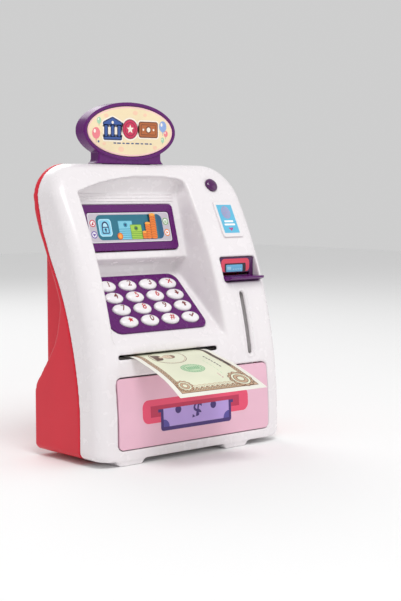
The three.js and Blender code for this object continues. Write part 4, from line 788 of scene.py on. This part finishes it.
key_names = ["1", "2", "3", "clear", "4", "5", "6", "save", "7", "8", "9", "draw", "star", "0", "hash",
             "enter"]
for (u, v), name in zip(spots, key_names):
    cap = bmesh.new()
    profile = [(0, -2.9), (1.107, -2.9), (1.107, -1.7), (1, -1.7), (1, -0.4)]
    profile += [(math.cos(a), KEY_SHOULDER + (KEY_DOME - KEY_SHOULDER) * math.sin(a))
                for a in [math.pi / 2 * k / 10 for k in range(11)]]
    line = [cap.verts.new((r, 0, z)) for r, z in profile]
    edges = [cap.edges.new(pair) for pair in zip(line, line[1:])]
    bmesh.ops.spin(cap, geom=line + edges, axis=(0, 0, 1), cent=(0, 0, 0), angle=2 * math.pi, steps=48,
                   use_merge=True)
    bmesh.ops.remove_doubles(cap, verts=cap.verts, dist=0.001)
    bmesh.ops.recalc_face_normals(cap, faces=cap.faces)
    bmesh.ops.scale(cap, vec=(KEY_HALF, KEY_RISE, 1), verts=cap.verts)
    mark = glyph("#" if name == "hash" else name,
                 7.2) if len(name) == 1 or name == "hash" else key_symbol(name)
    grid_cut(mark, 0.5, 0.5)
    for face in mark.faces:
        face.material_index = 1
    for vert in mark.verts:
        vert.co.z += key_surface(vert.co.x, vert.co.y)
    legend = legend_red if name in ("star", "hash", "clear", "8", "5", "6") else legend_brown
    cap = turned(together(cap, mark), KEYPAD @ Matrix.Translation((u, v, 0)))
    piece("key_cap_" + name, cap, [key_white, legend], "key_" + name, ["key_" + name],
          smooth=50)

# ---------------------------------------------------------------- camera lens
# A play security camera: a dark purple acrylic dome with a stem pressed into the face of the case.
# It is moulded and polished, with nothing behind it.
dark_gloss = plastic("dark_plastic", ink(78, 6, 84), gloss=0.12, peel=0.0, coat=0.3)
lens = bmesh.new()
profile = [(0, -4), (4, -4), (4, 0.3), (5.2, 0.3), (5.2, 0.8)] + [(5.2 * math.cos(a),
        0.8 + 2.2 * math.sin(a)) for a in [math.pi / 2 * k / 10 for k in range(1, 11)]]
line = [lens.verts.new((r, 0, z)) for r, z in profile]
bmesh.ops.spin(lens, geom=line + [lens.edges.new(pair) for pair in zip(line, line[1:])], axis=(0, 0, 1),
               cent=(0, 0, 0),
               angle=2 * math.pi, steps=48, use_merge=True)
bmesh.ops.remove_doubles(lens, verts=lens.verts, dist=0.001)
bmesh.ops.recalc_face_normals(lens, faces=lens.faces)
piece("lens_dome", turned(lens, on_face(LENS_X, LENS_Z)), dark_gloss, "case", ["camera_lens"],
      bevel=0.1, segments=2)

# ---------------------------------------------------------------- touch pad
# A white ABS plate let into the face, with a glossy blue label: a fingerprint, two bars and a small arrow.
# The plate is glued into its shallow seat; the label is printed vinyl.
inks, c = palette("pad", white_abs, sky=(96, 188, 222), pink=(206, 130, 176), white=(246, 248, 250),
                  magenta=(190, 50, 130))
art = bmesh.new()
stamp(art, oblong(-8.1, 6.7, -11.4, 11.4), 1, c["sky"], 0.5)
for k, radius in enumerate((4.1, 3.2, 2.3, 1.4, 0.6)):
    disc(art, -0.7, 5.2, radius, 2 + 2 * k, c["pink"], flat=1.2)
    disc(art, -0.7, 5.2, radius - 0.4, 3 + 2 * k, c["sky"], flat=1.2)
for v, half in ((-2.0, 4.4), (-4.6, 5.2)):
    stamp(art, oblong(-0.7 - half, -0.7 + half, v - 0.75, v + 0.75), 2, c["white"], 0.5)
stamp(art, [(-0.7, -9.9), (1.4, -7.6), (0.7, -6.8), (-0.7, -7.7), (-2.1, -6.8), (-2.8, -7.6)], 2,
      c["magenta"], 0.2, 3)
turned(art, Matrix.Translation((0, 0, 0.8)))
pad = prism(oblong(-9.8, 9.8, -14.2, 14.2), "z", -0.9, 0.8, soften=1.8)
piece("touch_pad", turned(together(pad, art), on_face(PAD_X, PAD_Z)), inks, "case", ["sensor_pad"],
      bevel=0.35)

# ---------------------------------------------------------------- card mouth
# The back of the card pocket: a dark plate with a slot in it and a printed picture of a card going in.
# Below it a purple shelf stands out of the pocket, flat on top with a round belly, clipped in behind.
inks, c = palette("card", dark_gloss, rose=(232, 66, 96), black=(36, 14, 34), card=(112, 190, 232),
                  ice=(170, 220, 244))
art = bmesh.new()
stamp(art, oblong(45.2, 73.2, 119.9, 129.4), 1, c["rose"], 3)
stamp(art, oblong(48.7, 69.6, 119.9, 126.0), 2, c["black"], 1)
stamp(art, oblong(50.0, 66.4, 119.9, 125.0), 3, c["card"], 0.8)
stamp(art, oblong(51.2, 55.0, 121.4, 123.6), 4, c["ice"], 0.4)
for k in range(4):
    stamp(art, oblong(56.6 + 2.3 * k, 58.2 + 2.3 * k, 121.3, 122.0), 4, c["ice"])
turned(art, Matrix.Translation((0, 24.5, 0)) @ Matrix.Rotation(math.pi / 2, 4, "X"))
plate = worked(prism(oblong(CARD[0] + 0.3, CARD[1] - 0.3, CARD[2] + 0.3, CARD[3] - 0.3), "y", 24.5, 26.6),
               prism(oblong(46.15, 73.15, 117.3, 119.3), "y", 20, 30), "DIFFERENCE")
piece("card_plate", together(plate, art), inks, "case", ["card_bezel"], bevel=0.2,
      segments=2)
belly = [(24.2, 117), (11.5, 117), (11.0, 116.8), (10.9, 116.3), (11.2, 115.8), (12.6, 115.2),
         (15.0, 114.4), (17.8, 113.7), (20.3, 113.3), (24.2, 113.3)]
shelf = worked(prism(belly, "x", CARD[0] + 0.3, CARD[1] - 0.3),
               prism(oblong(CARD[0] + 0.3, CARD[1] - 0.3, 9.8, 36), "z", 112, 118, soften=5, arc=8),
               "INTERSECT")
piece("card_shelf", shelf, purple_abs, "case", ["card_ledge"], bevel=0.4)

# ---------------------------------------------------------------- drawer front
# The pink ABS face of the cash drawer, curved like the case and clipped to the tray behind it.
# Its picture is printed: a red slot with a lavender banknote coming out of it.
pink_abs = plastic("pink_plastic", ink(236, 188, 206), gloss=0.3)
inks, c = palette("drawer", pink_abs, red=(234, 74, 110), wine=(192, 38, 80), lavender=(184, 156, 222),
                  navy=(62, 30, 112), iris=(84, 70, 156))
art = bmesh.new()
stamp(art, oblong(-48.0, 49.3, 22.4, 38.4), 1, c["red"], 5.2, 8)
stamp(art, oblong(-41.0, 40.5, 26.4, 34.0), 2, c["wine"])
note_art = bmesh.new()
stamp(note_art, oblong(-34.6, 34.6, 29.2, 33), 3, c["navy"], 0.4, 3)
stamp(note_art, oblong(-32.3, 32.5, 16.2, 44), 4, c["navy"], 2.2)
stamp(note_art, oblong(-30.0, 30.2, 18.8, 44), 5, c["lavender"], 0.4, 3)
corner_art = bmesh.new()
for u in (-30.0, 30.2):
    disc(corner_art, u, 18.8, 5.2, 6, c["iris"], segments=48)
for spot, side in (((-30.0, 0, 0), (-1, 0, 0)), ((30.2, 0, 0), (1, 0, 0)), ((0, 18.8, 0), (0, -1, 0))):
    bmesh.ops.bisect_plane(corner_art, geom=corner_art.verts[:] + corner_art.edges[:] + corner_art.faces[:],
                           plane_co=spot, plane_no=side, clear_outer=True)
for u in (-16.7, 15.6):
    disc(note_art, u, 29.6, 2.7, 6, c["navy"])
dollar = glyph("$", 17)
for face in dollar.faces:
    face.material_index = c["navy"]
turned(dollar, Matrix.Translation((-0.4, 26.6, 6 * LAYER)))
note_art = together(note_art, corner_art, dollar)
bmesh.ops.bisect_plane(note_art, geom=note_art.verts[:] + note_art.edges[:] + note_art.faces[:],
                       plane_co=(0, 31.3, 0), plane_no=(0, 1, 0), clear_outer=True)
art = together(art, note_art)
grid_cut(art, 200, 3)
for v in art.verts:
    v.co = (v.co.x, front_y(v.co.y) - v.co.z - 0.01, v.co.y)
front = worked(prism(oblong(DRAWER[0] + 0.5, DRAWER[1] - 0.5, DRAWER[2] + 0.5, DRAWER[3] - 0.5), "y",
                     OUTSIDE, 10, soften=3.5, arc=8),
               case_block(0, lambda z: front_y(z) + WALL), "INTERSECT")
piece("drawer_face", together(front, art), inks, "drawer", ["drawer_front"], bevel=0.5)

# ---------------------------------------------------------------- play note
# A play banknote of stiff paper, held flat between the rollers and drooping out of
# the slot, a little askew.
# It is printed on white with a brown border of rosettes, a green seal and a small plain portrait.
NOTE_X, NOTE_HALF, NOTE_OUT, NOTE_IN = -20.9, 33.15, 58.0, 40.0
NOTE_EDGES = ([(46, 68.2), (6, 68.2), (0, 67.4), (-7, 65.1), (-20, 60.6), (-32.5, 54.7), (-45.2, 46.6)],
              [(46, 68.2), (6, 68.2), (0, 67.8), (-8.7, 65.4), (-25.2, 61), (-41.2, 55.2), (-56.9, 48.5)])


def edge_line(points):
    """One edge of the note as points and lengths, from its front corner back to the flat part."""
    points = [Vector(p) for p in reversed(points[1:])]
    line = []
    for i in range(len(points) - 1):
        a, b, c_, d = points[max(0, i - 1)], points[i], points[i + 1], points[min(len(points) - 1, i + 2)]
        for k in range(12):
            t = k / 12
            line.append(0.5 * (2 * b + (c_ - a) * t + (2 * a - 5 * b + 4 * c_ - d) * t**2
                               + (3 * b - a - 3 * c_ + d) * t**3))
    line.append(points[-1])
    lengths = [0.0]
    for a, b in zip(line, line[1:]):
        lengths.append(lengths[-1] + (b - a).length)
    return line, lengths


EDGE_LINES = [edge_line(points) for points in NOTE_EDGES]


def along(side, share):
    """The point of one edge at a share of its drooping length; beyond 1 it runs on flat into the case."""
    line, lengths = EDGE_LINES[side]
    if share >= 1:
        return Vector((6 + (share - 1) * NOTE_OUT, 68.2))
    want = share * lengths[-1]
    i = next(k for k in range(1, len(lengths)) if lengths[k] >= want)
    return line[i - 1].lerp(line[i], (want - lengths[i - 1]) / (lengths[i] - lengths[i - 1]))


def on_note(u, v, lift):
    """A point of the note: u across it, v back from its front edge, lift above the paper."""
    t = (u + NOTE_HALF) / (2 * NOTE_HALF)
    here = along(0, v / NOTE_OUT).lerp(along(1, v / NOTE_OUT), t)
    near = along(0, v / NOTE_OUT + 0.02).lerp(along(1, v / NOTE_OUT + 0.02), t)
    way = (near - here).normalized()
    return (NOTE_X + u, here.x - way.y * lift, here.y + way.x * lift)


paper = plastic("note_paper", ink(238, 236, 226), gloss=0.75, peel=0.35, tint=0.03, coat=0.0)
inks, c = palette("note", paper, brown=(132, 92, 68), tan=(200, 168, 138), ground=(232, 234, 208),
                  mint=(196, 222, 184), green=(108, 176, 124),
                  umber=(96, 66, 50), dark=(44, 34, 32), skin=(226, 204, 176), hair=(136, 104, 80),
                  pink=(206, 140, 150))
art = bmesh.new()
stamp(art, oblong(-29.6, 29.6, 3.6, 94), 1, c["brown"])
stamp(art, oblong(-29.1, 29.1, 4.1, 94), 2, c["tan"])
stamp(art, oblong(-26.4, 26.4, 7.0, 94), 3, c["brown"])
stamp(art, oblong(-26.0, 26.0, 7.4, 94), 4, c["ground"])
for k in range(30):
    v = 6.4 + 1.9 * k
    for u in (-27.75, 27.75):
        disc(art, u, v, 0.75, 4, c["umber" if k % 2 else "brown"], flat=1.1, segments=10)
        disc(art, u, v, 0.35, 5, c["ground"], segments=8)
for k in range(28):
    disc(art, -25.6 + 1.9 * k, 5.5, 0.75, 4, c["umber" if k % 2 else "brown"], segments=10)
    disc(art, -25.6 + 1.9 * k, 5.5, 0.35, 5, c["ground"], segments=8)
for k in range(11):
    for radius, layer, colour in ((3.6, 5, "tan"), (3.1, 6, "ground"), (2.3, 7, "tan"), (1.9, 8, "ground"),
                                  (1.0, 9, "brown")):
        disc(art, -20 + 4 * k, 7.4, radius, layer, c[colour], flat=0.9, segments=20)
stamp(art, oblong(-26.0, 26.0, 4.6, 7.2), 10, c["tan"])
for k in range(26):
    disc(art, -25 + 2 * k, 5.9, 0.8, 11, c["umber" if k % 2 else "brown"], segments=10)
    disc(art, -25 + 2 * k, 5.9, 0.4, 12, c["ground"], segments=8)
for u, v, size in ((-23.2, 10.6, 4.6), (21.6, 11.6, 6.6)):
    for k in range(12):
        turn = k * math.pi / 6
        disc(art, u + size * math.cos(turn), v + size * math.sin(turn), size * 0.3, 13, c["brown"],
             segments=14)
        disc(art, u + size * math.cos(turn), v + size * math.sin(turn), size * 0.22, 14, c["tan"],
             segments=14)
    for radius, layer, colour in ((1.0, 15, "brown"), (0.93, 16, "ground"), (0.74, 17, "umber"),
                                  (0.68, 18, "tan"), (0.42, 19, "brown"), (0.34, 20, "ground")):
        disc(art, u, v, size * radius, layer, c[colour], segments=32)
for radius, layer, colour in ((9.2, 5, "green"), (8.7, 6, "mint"), (7.0, 7, "green"), (6.5, 8, "mint")):
    disc(art, -2.5, 30, radius, layer, c[colour], flat=0.62, segments=40)
for k in range(7):
    stamp(art, oblong(-7.2 + 1.5 * k, -6.3 + 1.5 * k, 28.0, 32.0), 9, c["green"], 0.3, 3)
for k in range(24):
    turn = k * math.pi / 12
    disc(art, -2.5 + 7.85 * math.cos(turn), 30 + 4.85 * math.sin(turn), 0.35, 9, c["green"], segments=8)
disc(art, -8.0, 49.5, 14.2, 5, c["brown"], flat=0.74, segments=48)
disc(art, -8.0, 49.5, 13.7, 6, c["ground"], flat=0.74, segments=48)
disc(art, -8.0, 49.5, 13.0, 7, c["tan"], flat=0.74, segments=48)
disc(art, -8.0, 49.5, 12.7, 8, c["ground"], flat=0.74, segments=48)
bust = bmesh.new()
stamp(bust, [(-6.4, -12.4), (6.4, -12.4), (6.0, -7.2), (3.4, -5.4), (-3.4, -5.4), (-6.0, -7.2)], 9,
      c["umber"], 1.2)
stamp(bust, oblong(-1.5, 1.5, -7.4, -3.2), 10, c["skin"], 0.5, 3)
disc(bust, 0, 1.0, 4.1, 11, c["hair"], flat=1.25)
disc(bust, 0, 0.2, 3.3, 12, c["skin"], flat=1.32)
stamp(bust, oblong(-3.2, 3.2, 3.0, 5.0), 13, c["hair"], 0.9)
for side in (-1, 1):
    disc(bust, side * 1.3, 0.7, 0.42, 13, c["dark"], flat=0.7, segments=12)
    stamp(bust, oblong(side * 1.3 - 0.6, side * 1.3 + 0.6, 1.4, 1.6), 13, c["umber"])
stamp(bust, [(-0.3, -0.9), (0.35, -0.9), (0.12, 0.6), (-0.12, 0.6)], 13, c["tan"])
stamp(bust, oblong(-0.8, 0.8, -2.2, -1.95), 13, c["umber"], 0.1, 2)
art = together(art, turned(bust, Matrix.Translation((-8.0, 49.5, 0)) @ Matrix.Rotation(-math.pi / 2, 4,
        "Z") @ Matrix.Diagonal((0.72, 0.98, 1, 1))))
for k in range(7):
    stamp(art, oblong(19.0, 20.0, 28 + 2.6 * k, 29.8 + 2.6 * k), 5, c["dark"])
for k in range(6):
    stamp(art, oblong(13.4, 13.9, 20 + 3.4 * k, 22.2 + 3.4 * k), 5, c["mint"])
stamp(art, oblong(10.0, 10.5, 17, 21), 5, c["pink"])
disc(art, 10.4, 15.6, 0.6, 5, c["pink"])
stamp(art, oblong(26.6, 28.6, 28, 94), 13, c["dark"])
grid_cut(art, 6, 2)
for v in art.verts:
    v.co = on_note(v.co.x, v.co.y, 0.1 + v.co.z * 0.5)
sheet = bmesh.new()
bmesh.ops.create_grid(sheet, x_segments=14, y_segments=80, size=0.5)
for v in sheet.verts:
    v.co = on_note(v.co.x * 2 * NOTE_HALF, (v.co.y + 0.5) * (NOTE_OUT + NOTE_IN), 0.08)
bmesh.ops.solidify(sheet, geom=sheet.faces[:], thickness=0.2)
bmesh.ops.recalc_face_normals(sheet, faces=sheet.faces)
piece("play_note_sheet", together(sheet, art), inks, "note", ["play_note"], smooth=30)

# ---------------------------------------------------------------- feed of the note
# Two steel shafts with rubber sleeves grip the note; a small motor turns the lower one through nylon gears.
# They run in a white frame screwed to posts inside the front shell.
rubber = plastic("roller_rubber", ink(70, 70, 76), gloss=0.75, peel=0.3, coat=0.0)
steel = plastic("bright_steel", ink(186, 188, 192), gloss=0.32, peel=0.1, coat=0.0)
steel.node_tree.nodes["Principled BSDF"].inputs["Metallic"].default_value = 1.0
nylon = plastic("nylon", ink(236, 230, 214), gloss=0.45)
inner_white = plastic("inner_plastic", ink(226, 222, 222), gloss=0.45, peel=0.12, coat=0.0)
black_abs = plastic("black_plastic", ink(34, 34, 38), gloss=0.42, peel=0.15)
finish_node("feed_frame", inner_white, 0.2)
finish_node("coin_chute", inner_white, 0.2)
finish_node("feed_motor", steel, 0.3)
for name in ("drive_roller", "pinch_roller"):
    finish_node(name, rubber)
for name in ("roller_gear", "idler_gear", "motor_pinion"):
    finish_node(name, nylon)

# ---------------------------------------------------------------- cash drawer tray
# A white ABS tray that slides on two rails behind the drawer's face; a spring pushes it out.
# A solenoid's bolt drops into it from above and keeps it shut.
finish_node("drawer_tray", inner_white, 0.3)
finish_node("latch_solenoid", black_abs, 0.3)
finish_node("latch_bolt", steel)
finish_node("eject_spring", steel)

# ---------------------------------------------------------------- power and electronics
# A black cradle for three AA cells, a green main board, a small speaker and a slide switch at the back.
# Everything is screwed or clipped to the rear shell.
cell_green = plastic("battery_sleeve", ink(52, 120, 84), gloss=0.22, peel=0.02, tint=0.12, coat=0.4)
for name in ("battery_box", "speaker", "power_switch", "power_knob"):
    finish_node(name, black_abs, 0.2)
for name in ("battery_1", "battery_2", "battery_3"):
    finish_node(name, cell_green, 0.3)
finish_node("main_board", board_green)
finish_node("battery_cover", red_abs, 0.4)
for name in ("battery_cover_screw", "case_screw_low_left", "case_screw_low_right", "case_screw_top_left",
             "case_screw_top_right"):
    finish_node(name, steel, 0.1)

# ---------------------------------------------------------------- studio
# A camera at about the height of the case, well to its left, over a plain white floor.
# Two broad soft lamps in front and one behind, in an even white room.
CAMERA_PLACE = Vector((-604.3, -682.5, 179.5))
camera = bpy.data.objects.new("camera", bpy.data.cameras.new("camera"))
bpy.context.scene.collection.objects.link(camera)
camera.data.lens, camera.data.sensor_width = 79.585, 36.0
camera.data.clip_start, camera.data.clip_end = 0.01, 20
camera.location = CASE @ CAMERA_PLACE
camera.rotation_euler = (math.radians(90 - 4.77), 0, -math.radians(41.68))
bpy.context.scene.camera = camera
bpy.context.scene.view_settings.view_transform = "Standard"

floor = prism(oblong(-2.5, 2.5, -2.5, 2.5), "z", -0.02, 0)
floor_thing = loose(floor, "studio_floor")
studio = bpy.data.materials.new("studio")
studio.use_nodes = True
studio.node_tree.nodes["Principled BSDF"].inputs["Base Color"].default_value = (0.93, 0.93, 0.93, 1)
studio.node_tree.nodes["Principled BSDF"].inputs["Roughness"].default_value = 0.9
floor_thing.data.materials.append(studio)
world = bpy.data.worlds.new("studio")
bpy.context.scene.world = world
world.use_nodes = True
world.node_tree.nodes["Background"].inputs["Color"].default_value = (1, 1, 1, 1)
world.node_tree.nodes["Background"].inputs["Strength"].default_value = 0.62


def lamp(name, place, size, power):
    light = bpy.data.lights.new(name, "AREA")
    light.size, light.energy = size, power
    thing = bpy.data.objects.new(name, light)
    bpy.context.scene.collection.objects.link(thing)
    thing.location = place
    thing.rotation_euler = (Vector((0, 0, 0.11)) - Vector(place)).to_track_quat("-Z", "Y").to_euler()


lamp("key_light", (-0.35, -0.75, 1.5), 0.7, 11)
lamp("fill_light", (0.9, -0.9, 0.5), 0.9, 1.6)
lamp("back_light", (0.3, 1.1, 1.0), 0.8, 4)
